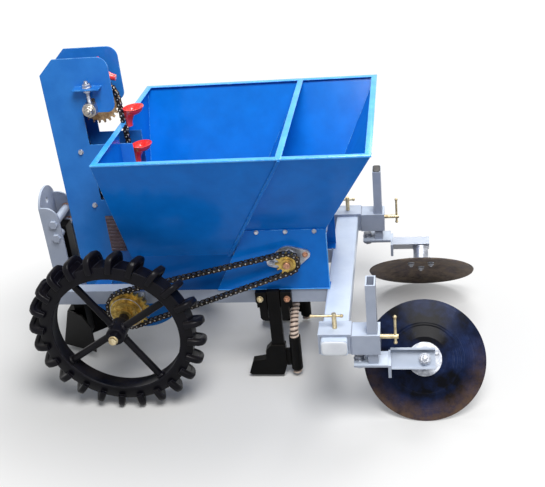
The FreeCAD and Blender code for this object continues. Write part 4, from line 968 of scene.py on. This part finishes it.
def ribbed_hose(side, sign):
    """Radius = 11.8 mm + 2.1 mm * ridge ** 1.5, ridge = (1 + cos(2 * pi * (along / 11.5 mm -
    turn))) / 2, from the rotor's spout down into the opener's tube."""
    low, high = low_high(side + "_fertilizer_hose")
    outlet = middle(side + "_metering_rotor")
    inner, tube_x = abs(outlet[1]), outlet[0] - 0.0035
    route = [(outlet[0], inner, high[2]), (outlet[0], inner, 0.290), (outlet[0], inner, 0.232),
             (outlet[0] - 0.0017, (inner + TUBE_Y) / 2, 0.199), (tube_x, TUBE_Y, 0.166),
             (tube_x, TUBE_Y, 0.110), (tube_x, TUBE_Y, low[2])]
    path, along = evenly(hose_line(np.array(route) * (1, sign, 1)), HOSE_STEP)
    angle = full_turn(HOSE_SIDES)
    ridge = 0.5 + 0.5 * np.cos(2 * np.pi * (along[:, None] / RIDGE_PITCH - angle / (2 * np.pi)))
    outline = round_outline(HOSE_RADIUS + RIDGE_HEIGHT * ridge ** 1.5)
    hose = put(side + "_ribbed_hose", [swept(path, outline, BACK)], hose_plastic, "chassis",
               "hose_grey", side + "_fertilizer_hose", sharp=60)
    print(side, "hose length, metres:", round(along[-1], 3))
    hose.data.attributes.new("ridge", "FLOAT", "POINT").data.foreach_set("value", ridge.ravel())
    clamp = turned(CLAMP_BAND, (outlet[0], sign * inner, CLAMP_Z), UP, 36)
    tail = (outlet[0] - 0.004, sign * (inner + 0.0152), CLAMP_Z)
    put(side + "_hose_clamp", bolt([tail], BACK, 0.008), white_zinc, "chassis", "zinc_white",
        loops=[clamp])


for side, sign in SIDES:
    ribbed_hose(side, sign)

# %% [markdown]
# ## Weld beads
# A hand-made weld is a row of overlapping drops. Separate drops would take many faces. Along a
# straight joint one round bar does it, whose thickness pulses every few millimetres; round a tube
# it is a ring with the same pulse.


# %% Weld beads
DROP_LENGTH, POINT_SPACING, BEAD_SIDES = 0.004, 0.0013, 8


def weld(start, end, side, size=0.003):
    """Bead from start to end: radius = size * (0.78 + 0.22 * |sin(pi * s / 4 mm)|)."""
    start, end = np.array(start, float), np.array(end, float)
    length = np.linalg.norm(end - start)
    share = np.linspace(0, 1, max(6, int(length / POINT_SPACING)))
    radius = size * (0.78 + 0.22 * np.abs(np.sin(np.pi * share * length / DROP_LENGTH)))
    radius[[0, -1]] *= 0.4
    outline = round_outline(np.repeat(radius[:, None], BEAD_SIDES, axis=1))
    return swept(start + (end - start) * share[:, None], outline, side)


def weld_ring(centres, axis, radius, size=0.003):
    """Bead round a tube that meets a surface square on: a low arch turned about the tube."""
    profile = [(-size * 1.1, radius * 0.97), (-size * 0.7, radius + size * 0.6), (0, radius + size),
               (size * 0.7, radius + size * 0.6), (size * 1.1, radius * 0.97)]
    return turned(profile, centres, axis, 40, ripple=0.03, waves=13)


# %% Beads on the frame
RAIL_INNER, RAIL_OUTER = 0.090, 0.130
SLEEVE_FOOT, SLEEVE_TOP, SLEEVE_STEP, SLEEVE_BEAD = 0.244, 0.300, 0.0084, 0.0026
rail_low, rail_high = low_high("left_rail")
bar_low, bar_high = low_high("rear_crossbar")
sleeve_low, sleeve_high = low_high("left_clamp_sleeve")
front, rear = bar_low[0], bar_high[0] + SLEEVE_STEP
beads = []
for _, sign in SIDES:
    inner, outer = sign * RAIL_INNER, sign * RAIL_OUTER
    near, far = sign * -sleeve_low[1], sign * -sleeve_high[1]
    beads += [weld((front, inner, rail_high[2]), (front, outer, rail_high[2]), UP),
              weld((front, outer, rail_low[2]), (front, outer, rail_high[2]), BACK),
              weld((rear, near, SLEEVE_FOOT), (rear, near, SLEEVE_TOP), BACK, SLEEVE_BEAD),
              weld((rear, near, SLEEVE_TOP), (rear, far, SLEEVE_TOP), BACK, SLEEVE_BEAD),
              weld((rear, far, SLEEVE_FOOT), (rear, far, SLEEVE_TOP), BACK, SLEEVE_BEAD)]

HITCH_FACE, HITCH_BEAD_RISE = 0.060, 0.045
hitch_low, hitch_high = low_high("hitch_channel")
bead_z = hitch_low[2] + HITCH_BEAD_RISE
beads += [weld((hitch_low[0] + 0.004, sign * HITCH_FACE, bead_z),
               (hitch_high[0] - 0.003, sign * HITCH_FACE, bead_z), FAR) for _, sign in SIDES]
print("beads:", len(beads))
put("frame_welds", beads, weld_steel, "chassis", "frame_grey", sharp=180)

# %% [markdown]
# ## Wheels
# A wheel is a rolled rim with 24 lugs folded over it, each on a short web, and four tube spokes
# welded to a hub. The lugs are bent from round-edged bar and lie aslant, so that the wheel grips.
# An array turned about an empty could repeat a lug. With grids it takes one line: a lug is swept
# along its bent line in (around, across, radius), and a rotation puts its copies on the rim.

# %% Sizes of a wheel
LUG_TIP, RIM, RIM_BORE, RIM_HALF_WIDTH, LUG_COUNT = 0.2556, 0.2220, 0.1840, 0.0250, 24
LUG_SLANT = math.tan(math.radians(18))
LUG_SECTION, WEB_SECTION = soft_box(0.0190, 0.0190, 0.0055), soft_box(0.0160, 0.0340, 0.0010, 2)
WEB_HALF_WIDTH, WEB_RADIUS = 0.026, 0.230
SPOKE_RADIUS, SPOKE_FOOT, HUB_RADIUS, FIRST_SPOKE_DEG = 0.0105, 0.022, 0.0272, 33

# Half of a lug's bent line: (distance from the wheel's middle plane, depth under the tip).
LUG_BEND = [(0.0, 0.0100), (0.0120, 0.0102), (0.0190, 0.0122), (0.0240, 0.0180), (0.0262, 0.0280),
            (0.0266, 0.0400), (0.0262, 0.0476)]
HUB_PROFILE = [(-0.032, 0.0235), (-0.031, 0.0262), (-0.029, 0.0270), (0.029, 0.0270),
               (0.031, 0.0262), (0.032, 0.0235)]
print("lug's slant, degrees:", round(math.degrees(math.atan(LUG_SLANT))))


# %% Shapes of a wheel
def lug_line():
    """Centre line of a lug in (around, across, radius): over the tread and down both sides, with
    around = across * slant."""
    half = np.array(LUG_BEND) * (1, -1) + (0, LUG_TIP)
    line = np.concatenate([half[::-1] * (-1, 1), half[1:]])
    return np.stack([line[:, 0] * LUG_SLANT, line[:, 0], line[:, 1]], axis=1)


def rim_profile():
    """Section of the rim: a flat tread with softened edges, and a bore that is a little hollow."""
    half = [(RIM_HALF_WIDTH - 0.003, RIM), (RIM_HALF_WIDTH, RIM - 0.004),
            (RIM_HALF_WIDTH, RIM_BORE + 0.002), (RIM_HALF_WIDTH - 0.002, RIM_BORE),
            (RIM_HALF_WIDTH - 0.009, RIM_BORE + 0.0025)]
    mirrored = [(-along, radius) for along, radius in half[::-1]]
    return mirrored[1:] + half + mirrored[:1]


def round_wheel(shape, centre, turns):
    """Copies of a shape in (around, across, radius): x = around * cos t + radius * sin t, and
    z = radius * cos t - around * sin t."""
    turns = np.reshape(turns, (-1,) + (1,) * (shape.ndim - 1))
    x = shape[..., 0] * np.cos(turns) + shape[..., 2] * np.sin(turns)
    z = -shape[..., 0] * np.sin(turns) + shape[..., 2] * np.cos(turns)
    y = np.broadcast_to(shape[..., 1], x.shape)
    return np.stack([x, y, z], axis=-1) + centre


print("points along a lug:", len(lug_line()), "and round the rim's section:", len(rim_profile()))


# %% Both wheels
def wheel(side):
    """Rim with rolled edges, lugs with webs, hub and tube spokes, welded into one piece."""
    node = side + "_wheel"
    centre = middle(node)
    centre[2] = axle_place[1]
    turns = (np.arange(LUG_COUNT) + 0.5) * 2 * np.pi / LUG_COUNT
    web_line = [(across * LUG_SLANT, across, WEB_RADIUS)
                for across in (-WEB_HALF_WIDTH, WEB_HALF_WIDTH)]
    parts = [round_wheel(swept(lug_line(), LUG_SECTION, BACK), centre, turns),
             round_wheel(swept(web_line, WEB_SECTION, BACK), centre, turns),
             turned(HUB_PROFILE, centre, FAR, 40)]
    angles = np.radians(FIRST_SPOKE_DEG + 90 * np.arange(4))
    for direction in np.stack([np.cos(angles), np.zeros(4), np.sin(angles)], axis=1):
        spoke = [(SPOKE_FOOT, SPOKE_RADIUS), (RIM_BORE + 0.004, SPOKE_RADIUS)]
        parts += [turned(spoke, centre, direction, 20),
                  weld_ring(centre + direction * RIM_BORE, direction, SPOKE_RADIUS),
                  weld_ring(centre + direction * HUB_RADIUS, direction, SPOKE_RADIUS)]
    rim = turned(rim_profile(), centre, FAR, 96)[0]
    put(side + "_lugged_wheel", parts, wheel_black, "axle", "wheel_black", node, sharp=40,
        loops=[rim])


wheel("left")
wheel("right")

# %% [markdown]
# ## Drive details
# Each wheel is held by a plated bolt in the axle's end. The drive sprocket is bolted to a stepped
# drum whose edge is turned bright, and the fertilizer shaft ends in a turned stub. They could be
# left to the CAD model, but it stays plain. Here each is a short profile or a bolt like the ones
# before, on the axle or the shaft, so that it turns with it.

# %% Drive details
SEAT_GAP = 0.0001
axle_end = (axle_place[0], low_high("wheel_axle")[0][1] - SEAT_GAP, axle_place[1])
put("wheel_hub_bolts", bolts_both_sides(axle_end, 0.021), brass_zinc, "axle", "zinc_yellow")

# Section of the drum's bright edge: (distance in front of the sprocket, radius).
DRUM_EDGE = [(0.0150, 0.0476), (0.0152, 0.0488), (0.0160, 0.0491), (0.0166, 0.0486),
             (0.0164, 0.0476)]
SPROCKET_HALF, DRUM_BOLT_CIRCLE, DRUM_BOLT_DEPTH = 0.0042, 0.0315, 0.030
drum_centre = np.array((axle_place[0], drive_depth - SPROCKET_HALF, axle_place[1]))
put("drum_edge", [], white_zinc, "axle", "zinc_yellow",
    loops=[turned(DRUM_EDGE, drum_centre, NEAR, 48)])
turns = np.radians(20 + 120 * np.arange(3))
circle = np.stack([np.cos(turns), np.zeros(3), np.sin(turns)], axis=1)
drum_bolts = drum_centre + DRUM_BOLT_CIRCLE * circle + (0, -DRUM_BOLT_DEPTH, 0)
put("drum_bolts", bolt(drum_bolts, NEAR, 0.010), yellow_zinc, "axle", "zinc_yellow")

SHAFT_STUB = [(-0.006, 0.0102), (0.0, 0.0102), (0.0012, 0.0092), (0.0013, 0.0035), (0.0005, 0.0030)]
shaft_end = (shaft_place[0], low_high("fertilizer_shaft")[0][1], shaft_place[1])
put("metering_shaft_end", [turned(SHAFT_STUB, shaft_end, NEAR, 28)], copper_steel, "metering_shaft",
    "zinc_yellow")

# %% [markdown]
# ## Chain tensioner
# The head shaft hangs from a threaded rod on each side, and turning a nut lifts it to tighten the
# cup chain. A nut above and one below the ledge set the height, and the shaft's end carries a nut
# and washer of its own. The thread is drawn as rings, because at this size nobody sees it climb.

# %% Chain tensioner
LEDGE_TOP, LEDGE_THICKNESS, ROD_RADIUS = 0.9023, 0.0045, 0.0056
UPPER_NUT, LOWER_NUT = 0.0206, 0.0186
THREADS = ((0.8600, 0.0360), (0.9110, 0.0105))  # foot and length, below and above the nuts
WASHER = [(-0.0030, 0.0190), (-0.0026, 0.0196), (-0.0006, 0.0196), (0.0, 0.0188), (0.0, 0.0100)]
rod_y = middle("left_chain_tensioner")[1]
parts = []
for y in (rod_y, -rod_y):
    rod = np.array((head_place[0], y, 0.0))
    parts += [thread(rod + (0, 0, foot), UP, length, ROD_RADIUS) for foot, length in THREADS]
    parts += bolt(rod + (0, 0, LEDGE_TOP), UP, UPPER_NUT)
    parts += bolt(rod + (0, 0, LEDGE_TOP - LEDGE_THICKNESS), DOWN, LOWER_NUT)
put("tension_nuts", parts, white_zinc, "chassis", "zinc_white")

HEAD_NUT, NUT_SINK = (0.024, 0.004, 0.5), 0.0012
head_shaft_tip = low_high("elevator_head_shaft")[0][1]
head_end = np.array((head_place[0], head_shaft_tip + NUT_SINK, head_place[1]))
head_nuts = bolts_both_sides(head_end, *HEAD_NUT)
head_nuts += [turned(WASHER, head_end, NEAR, 32), turned(WASHER, head_end * MIRROR, FAR, 32)]
put("head_shaft_nuts", head_nuts, pin_steel, "elevator_head", "zinc_white")

# %% [markdown]
# ## Ribbed guard
# A brown ribbed strip lies on the elevator's left plate beside the hopper: a thin plate with ten
# ribs across it. A bump could fake the ribs, but real ones also show in the outline. Plate and
# ribs are rectangles with round corners, swept along straight lines.

# %% Ribbed guard
GUARD_LOW, GUARD_HIGH, GUARD_Y, RIB_Y, RIB_COUNT = 0.389, 0.506, -0.0515, -0.0535, 10
RIB_INSET, RIB_FROM_END = 0.003, 0.006
guard_front, guard_rear = plate_front + 0.1035, plate_front + 0.1500
guard_x = (guard_front + guard_rear) / 2
guard = [swept([(guard_x, GUARD_Y, GUARD_LOW), (guard_x, GUARD_Y, GUARD_HIGH)],
               soft_box(guard_rear - guard_front, 0.003, 0.001, 3), BACK)]
for z in np.linspace(GUARD_LOW + RIB_FROM_END, GUARD_HIGH - RIB_FROM_END, RIB_COUNT):
    rib = [(guard_front + RIB_INSET, RIB_Y, z), (guard_rear - RIB_INSET, RIB_Y, z)]
    guard.append(swept(rib, soft_box(0.006, 0.0045, 0.0018), UP))
put("ribbed_guard", guard, guard_brown, "chassis", "chain_steel")

# %% [markdown]
# ## Hopper skirts, seams and hems
# Below its slope the hopper's side goes on as a flat skirt down to the rail, painted a darker blue as painted
# shade to match the shaded slope. A seam runs down each side where the divider is welded in, and the side panels
# have folded hems. A line in the paint would catch no light, so all are thin closed strips that stand a little
# proud of the sheet. The hems carry the rims' lighter blue, a painted highlight.

# %% Hopper skirts, seams and hems
bin_low, bin_high = low_high("potato_hopper")
rear_low, rear_high = low_high("fertilizer_hopper")
SKIRT_FOOT, SKIRT_TOP, SKIRT_FACES = 0.2963, 0.4128, (-0.1297, -0.1282)
PANEL_TIP, PANEL_SLOPE_TOP = -0.0890, -0.0290
skirt_front = bin_low[0] + 0.003
skirt_edge = [(skirt_front, SKIRT_FOOT), (PANEL_TIP, SKIRT_FOOT), (PANEL_SLOPE_TOP, SKIRT_TOP),
              (skirt_front, SKIRT_TOP)]
skirt = np.array([[(x, y, z) for x, z in skirt_edge] for y in SKIRT_FACES])
put("hopper_skirts", [skirt, skirt * MIRROR], skirt_blue, "chassis", "blue_sheet", sharp=20)

SEAM_LINE = [(-0.0475, -0.1264, 0.402), (0.1505, -0.3008, 0.771)]
seam = swept(SEAM_LINE, soft_box(0.0085, 0.0030, 0.0010, 3), BACK)
put("divider_seams", [seam, seam * MIRROR], hopper_blue, "chassis", "blue_sheet", sharp=30)

hem_y, hem_foot, hem_rear = panel_low[1] - 0.0006, panel_low[2] + 0.0018, panel_high[0] - 0.0015
hem_route = [(PANEL_TIP, hem_y, hem_foot), (hem_rear, hem_y, hem_foot),
             (hem_rear, hem_y, panel_high[2] - 0.0120)]
hem = [swept(hem_route[i:i + 2], soft_box(0.0030, 0.0030, 0.0011, 3), FAR) for i in (0, 1)]
put("panel_hems", hem + [part * MIRROR for part in hem], rim_blue, "chassis", "blue_sheet",
    sharp=50)

# %% [markdown]
# ## Hopper rims
# The sheet is folded inwards at the top and ends in a hem, so that no raw edge meets the hand. A bevel on the wall
# could round the edge, but not make the fold. So the fold's section is carried round the mouth with mitred
# corners. The rims get a lighter tone of the paint, a painted highlight of the sky they face.


# %% Hopper rims
RIM_TOP, RIM_WIDTH = 0.776, 0.015


def rim_strip(corners, is_open=False):
    """A fold's section of (inward, up) round a mouth: point = corner + inward * mitre. The mitre
    is the sum of both walls' inward directions over one plus their dot product."""
    width = RIM_WIDTH
    section = np.array([(0.0, -0.004), (-0.0006, -0.0005), (-0.0002, 0.0004), (0.0006, 0.0006),
                        (width - 0.0015, 0.0006), (width + 0.0008, 0.0), (width + 0.0008, -0.0016),
                        (width - 0.001, -0.0022), (width - 0.0015, -0.0004), (0.0006, -0.0006),
                        (0.0006, -0.004)])
    corners = np.array(corners, float)
    ahead = unit(np.roll(corners, -1, axis=0) - corners)
    behind = unit(corners - np.roll(corners, 1, axis=0))
    inward = np.stack([-ahead[:, 1], ahead[:, 0]], axis=1)
    inward_before = np.stack([-behind[:, 1], behind[:, 0]], axis=1)
    mitre = (inward + inward_before) / (1 + (inward * inward_before).sum(axis=1))[:, None]
    if is_open:
        mitre[0], mitre[-1] = inward[0], inward_before[-1]
    flat = corners[:, None] + section[:, 0, None] * mitre[:, None]
    up = np.broadcast_to(RIM_TOP + section[:, 1], flat.shape[:2])
    grid = np.concatenate([flat, up[..., None]], axis=-1)
    return grid if is_open else np.swapaxes(grid, 0, 1)


mouth = rim_strip([(bin_low[0], bin_low[1]), (bin_high[0], bin_low[1]),
                   (bin_high[0], bin_high[1]), (bin_low[0], bin_high[1])])
put("potato_hopper_rim", [], rim_blue, "chassis", "blue_sheet", sharp=30, loops=[mouth])
start = bin_high[0] + 0.0004
three_sides = rim_strip([(start, rear_low[1]), (rear_high[0], rear_low[1]),
                         (rear_high[0], rear_high[1]), (start, rear_high[1])], is_open=True)
put("fertilizer_hopper_rim", [three_sides], rim_blue, "chassis", "blue_sheet", sharp=30)

# %% [markdown]
# ## Clamps and plugs
# The clamping screws are threaded, and their cross handles end in knobs, so that a hand can turn
# them. The crossbar is a tube with round corners, closed by plastic plugs, and so is one post. A
# plug could be a box with a bevel. Its outline here is a squircle, between a square and a circle,
# which shrinks as it rises, so that the top is softly domed.


# %% Clamp screws
SCREW_RADIUS, KNOB_RADIUS, KNOB_INSET = 0.0064, 0.0052, 0.008
SLEEVE_THREAD_FOOT, SLEEVE_THREAD_LENGTH = 0.3046, 0.032
# The post screw's thread starts this far behind and above its box's lowest corner.
POST_THREAD_X, POST_THREAD_Z, POST_THREAD_LENGTH = 0.0085, 0.019, 0.036


def knob(centres):
    """A ball as a turned half circle: (along, radius) = KNOB_RADIUS * (sin a, cos a)."""
    angle = np.linspace(-np.pi / 2, np.pi / 2, 9)[1:-1]
    profile = np.stack([np.sin(angle), np.cos(angle)], axis=1) * KNOB_RADIUS
    return turned(profile, centres, UP, 14)


bar_middle, bar_size = (bar_low + bar_high) / 2, bar_high - bar_low
for side, _ in SIDES:
    low, high = low_high(side + "_sleeve_screw")
    depth, handle_z = (low[1] + high[1]) / 2, high[2] - KNOB_INSET
    foot = (bar_middle[0], depth, SLEEVE_THREAD_FOOT)
    parts = [thread(foot, UP, SLEEVE_THREAD_LENGTH, SCREW_RADIUS),
             knob([(low[0], depth, handle_z), (high[0], depth, handle_z)])]
    low, high = low_high(side + "_post_screw")
    handle_x = high[0] - KNOB_INSET
    foot = (low[0] + POST_THREAD_X, depth, low[2] + POST_THREAD_Z)
    parts += [thread(foot, BACK, POST_THREAD_LENGTH, SCREW_RADIUS),
              knob([(handle_x, depth, low[2]), (handle_x, depth, high[2])])]
    put(side + "_screw_details", parts, brass_zinc, "chassis", "zinc_yellow")

# %% Crossbar tube and plugs
TUBE_END, TUBE_WALL_STEP = 0.3905, 0.001
# How a plug's height and width go together, as shares of its rise and of its base.
PLUG_HEIGHTS = np.array([-0.6, 0.0, 0.4, 0.75, 0.95, 1.0])
PLUG_WIDTHS = np.array([1.0, 1.0, 0.99, 0.95, 0.86, 0.6])[:, None]


def plug(low, high, axis_index, rise):
    """Rounded plug over the box-shaped end of a tube: the outline x ** 6 + y ** 6 = 1 shrinks as
    it rises from the box's high face."""
    angle = full_turn(32)
    squircle = (np.abs(np.cos(angle)) ** 6 + np.abs(np.sin(angle)) ** 6) ** (-1 / 6)
    edge = np.stack([squircle * np.cos(angle), squircle * np.sin(angle)])
    low, high = np.array(low), np.array(high)
    centre, half = (low + high) / 2, (high - low) / 2
    grid = np.empty((len(PLUG_HEIGHTS), 32, 3))
    for row, k in zip(edge, [k for k in range(3) if k != axis_index]):
        grid[..., k] = centre[k] + half[k] * PLUG_WIDTHS * row
    grid[..., axis_index] = high[axis_index] + PLUG_HEIGHTS[:, None] * rise
    return grid


bar_line = [(bar_middle[0], y, bar_middle[2]) for y in (-TUBE_END, 0.0, TUBE_END)]
put("crossbar_tube", [swept(bar_line, soft_box(bar_size[0], bar_size[2], 0.005, 5), BACK)],
    bar_grey, "chassis", "frame_grey", "rear_crossbar")
bar_end = plug((bar_low[0] + TUBE_WALL_STEP, 0.3850, bar_low[2] + TUBE_WALL_STEP),
               (bar_high[0] - TUBE_WALL_STEP, 0.3906, bar_high[2] - TUBE_WALL_STEP), 1, 0.0042)
put("bar_end_plugs", [bar_end, bar_end * MIRROR], cap_plastic, "chassis", "frame_grey", sharp=50)

# %% [markdown]
# ## Disc posts
# A bolt through the foot of each post holds the disc's arm and sets its angle. It could ride on
# the arm, but its head is clamped to the post, so it rides there and slides up and down with it.
# The right post is closed by a black plug, and the left one is open.

# %% Disc posts
POST_Y, POST_HALF_WIDTH, POST_FRONT, POST_REAR = 0.341, 0.0245, 0.3495, 0.3745
TOE_BOLT_Z, TOE_BOLT, NUT_RISE, PLUG_SINK = 0.205, 0.0246, 0.0080, 0.004
for side, sign in SIDES:
    low, high = low_high(side + "_disc_post")
    if side == "right":
        post_cap = plug((POST_FRONT, POST_Y - POST_HALF_WIDTH, low[2]),
                        (POST_REAR, POST_Y + POST_HALF_WIDTH, high[2] - PLUG_SINK), 2, 0.0075)
        put("right_post_plug", [post_cap], rotor_black, "right_post", "rotor_black", sharp=50)
    toe_x = joint_place(side + "_toe_turn")[0]
    head, nut = (toe_x, sign * POST_Y, TOE_BOLT_Z), (toe_x, sign * POST_Y, low[2] + NUT_RISE)
    put(side + "_toe_bolt", bolt(head, UP, TOE_BOLT) + bolt(nut, DOWN, TOE_BOLT), white_zinc,
        side + "_post", "zinc_white")

# %% [markdown]
# ## Disc details
# Each disc is bolted between flanges, turns on a hub with a collar, and is held by a big nut on
# the arm. A crease is pressed into the dish to stiffen it. Bump alone would vanish at the dish's
# grazing light, so the crease is a closed ring whose section lies half sunk in the dish.


# %% Disc details
DISH_SLOPE, DISH_START, CREASE_RADIUS = 0.026 / 0.106, 0.062, 0.098
FLANGE_BOLT_CIRCLE, FRONT_FACE, BACK_FACE, NUT_SEAT = 0.0365, 0.006, 0.004, 0.0653
COLLAR = [(0.048, 0.0245), (0.0485, 0.0262), (0.0530, 0.0262), (0.0545, 0.0250), (0.0548, 0.0150)]
# Section of the crease: (height over the dish, distance from the crease's own radius).
CREASE = np.array([(0.0016, -0.005), (0.0020, -0.001), (0.0007, 0.003), (-0.0012, 0.005),
                   (-0.0030, 0.0)])


def disc_detail(side):
    """Bolts at centre + 36.5 mm * (first * cos t + second * sin t) on both faces, the crease, the
    collar, and the stub's nut on the arm."""
    centre, axis = disc_centres[side], disc_axes[side]
    body = side + "_ridging_disc"
    first, second = square_to(axis)
    turns = np.radians(30 + 120 * np.arange(3))[:, None]
    around = (np.cos(turns) * first + np.sin(turns) * second) * FLANGE_BOLT_CIRCLE
    heads = bolt(centre + axis * FRONT_FACE + around, axis, 0.013)
    nuts = bolt(centre - axis * BACK_FACE + around, -axis, 0.017, 0.004)
    put(side + "_disc_bolts", heads + nuts, white_zinc, body, "zinc_white")
    crease = CREASE + ((DISH_START - CREASE_RADIUS) * DISH_SLOPE, CREASE_RADIUS)
    put(side + "_disc_crease", [], disc_paint[side], body, "disc_dark", sharp=60,
        loops=[turned(crease, centre, axis, 96)])
    put(side + "_hub_collar", [turned(COLLAR, centre, axis, 36)], white_zinc, body, "zinc_white")
    put(side + "_stub_nut", bolt(centre + axis * NUT_SEAT, axis, 0.0238, 0.006), white_zinc,
        side + "_arm", "zinc_white")


disc_detail("left")
disc_detail("right")

# %% [markdown]
# ## Hitch nuts
# The shank of the furrow opener is held in the hitch channel by two cross bolts. Their nuts sit
# inside the channel and face the machine's middle. A helper of their own isn't needed: given
# places on the right, the same one turns each nut to the left, and its mirror image to the right.

# %% Hitch nuts
SHANK_FROM_REAR, SHANK_HEIGHTS, NUT_Y = 0.0173, (0.443, 0.488), 0.0535
shank_nuts = [(hitch_high[0] - SHANK_FROM_REAR, NUT_Y, z) for z in SHANK_HEIGHTS]
put("hitch_nuts", bolts_both_sides(shank_nuts, 0.022), copper_steel, "chassis", "zinc_yellow")

# %% [markdown]
# ## Floor and world
# A studio floor has to look white and still take the machine's shadow. More light would wash the paint out. So the
# floor glows by itself, but only for camera, mirror and glass rays; for all others it is plain pale paint. In an
# oval pool round the machine the glow gives way to a grey that is a painted shadow, and the cast shadow shows in
# it.


# %% What each ray sees
def seen_ray(tree):
    """1 for camera, glossy and transmission rays, else 0."""
    path = add(tree, "ShaderNodeLightPath").outputs
    seen = calculate(tree, "MAXIMUM", path["Is Camera Ray"], path["Is Glossy Ray"])
    return calculate(tree, "MAXIMUM", seen, path["Is Transmission Ray"])


def mix_by_ray(tree, plain, shown, output_kind):
    """The plain shader for the light, the shown one for what the viewer sees."""
    either = add(tree, "ShaderNodeMixShader")
    for index, value in enumerate((seen_ray(tree), plain, shown)):
        feed(tree, value, either.inputs[index])
    feed(tree, either.outputs[0], add(tree, output_kind).inputs[0])


# %% Floor
FLOOR_REACH, FLOOR_Z = 30, -0.001
SHADOW_POOL_SHIFT, SHADOW_POOL_SQUEEZE, SHADOW_POOL_INNER, SHADOW_POOL_OUTER = (0.1, 0.0, 0.0), (0.85, 1.15, 1.0), 0.45, 1.15

floor_material = bpy.data.materials.new("studio_floor")
floor_material.use_nodes = True
tree = floor_material.node_tree
tree.nodes.clear()
shifted = calculate_vector(tree, "ADD", here(tree), SHADOW_POOL_SHIFT)
squeezed = calculate_vector(tree, "MULTIPLY", shifted, SHADOW_POOL_SQUEEZE)
away = calculate_vector(tree, "LENGTH", squeezed)
# Inside the pool the glow fades and a grey shows even where the floor is lit: a painted shadow round the machine,
# as well as its cast shadow.
clear = remap(tree, away, SHADOW_POOL_INNER, SHADOW_POOL_OUTER, interpolation_type="SMOOTHSTEP")
pale = add(tree, "ShaderNodeBsdfDiffuse", inputs={"Color": (0.6, 0.6, 0.6, 1)})
shown = add(tree, "ShaderNodeBsdfDiffuse")
glow = add(tree, "ShaderNodeEmission")
bright = add(tree, "ShaderNodeAddShader")
feed(tree, remap(tree, clear, 0.0, 1.0, 0.6, 0.0), shown.inputs["Color"])
feed(tree, remap(tree, clear, 0.0, 1.0, 0.05, 1.05), glow.inputs["Strength"])
feed(tree, shown.outputs[0], bright.inputs[0])
feed(tree, glow.outputs[0], bright.inputs[1])
mix_by_ray(tree, pale.outputs[0], bright.outputs[0], "ShaderNodeOutputMaterial")

floor_mesh = bpy.data.meshes.new("floor")
floor_mesh.from_pydata([(x * FLOOR_REACH, y * FLOOR_REACH, FLOOR_Z)
                        for x, y in ((-1, -1), (1, -1), (1, 1), (-1, 1))], [], [(0, 1, 2, 3)])
floor_mesh.materials.append(floor_material)
floor = bpy.data.objects.new("floor", floor_mesh)
bpy.context.scene.collection.objects.link(floor)
print("floor at", FLOOR_Z, "m with", len(floor_material.node_tree.nodes), "nodes")

# %% World
world = bpy.data.worlds.new("studio")
bpy.context.scene.world = world
world.use_nodes = True
tree = world.node_tree
tree.nodes.clear()
soft = add(tree, "ShaderNodeBackground", inputs={"Color": (0.9, 0.95, 1.0, 1), "Strength": 0.25})
white = add(tree, "ShaderNodeBackground", inputs={"Color": (1, 1, 1, 1), "Strength": 1.0})
mix_by_ray(tree, soft.outputs[0], white.outputs[0], "ShaderNodeOutputWorld")
print("world:", world.name, "with", len(tree.nodes), "nodes")

# %% [markdown]
# ## Lamps
# Small lamps would throw hard shadows. Two big square ones light the machine as in a studio: the
# key above its left side, and a weaker one beyond it that draws the rims and the far edges.


# %% Lamps
AIM = (0.0, 0.0, 0.4)


def softbox(name, place, size, power, tint=(1, 1, 1)):
    """Square area lamp at a place, turned so that its -Z points at the machine."""
    data = bpy.data.lights.new(name, "AREA")
    data.size, data.energy, data.color = size, power, tint
    lamp = bpy.data.objects.new(name, data)
    ahead = Vector(AIM) - Vector(place)
    lamp.rotation_mode = "QUATERNION"
    lamp.rotation_quaternion = ahead.to_track_quat("-Z", "Y")
    lamp.location = place
    bpy.context.scene.collection.objects.link(lamp)
    print(name, "lamp of", power, "W at", place)


softbox("key", (0.7, -1.5, 3.2), 1.6, 125.0, (1.0, 0.99, 0.97))
softbox("behind", (0.7, 1.7, 3.0), 1.8, 70.0)

bpy.context.scene.view_settings.view_transform = "Standard"
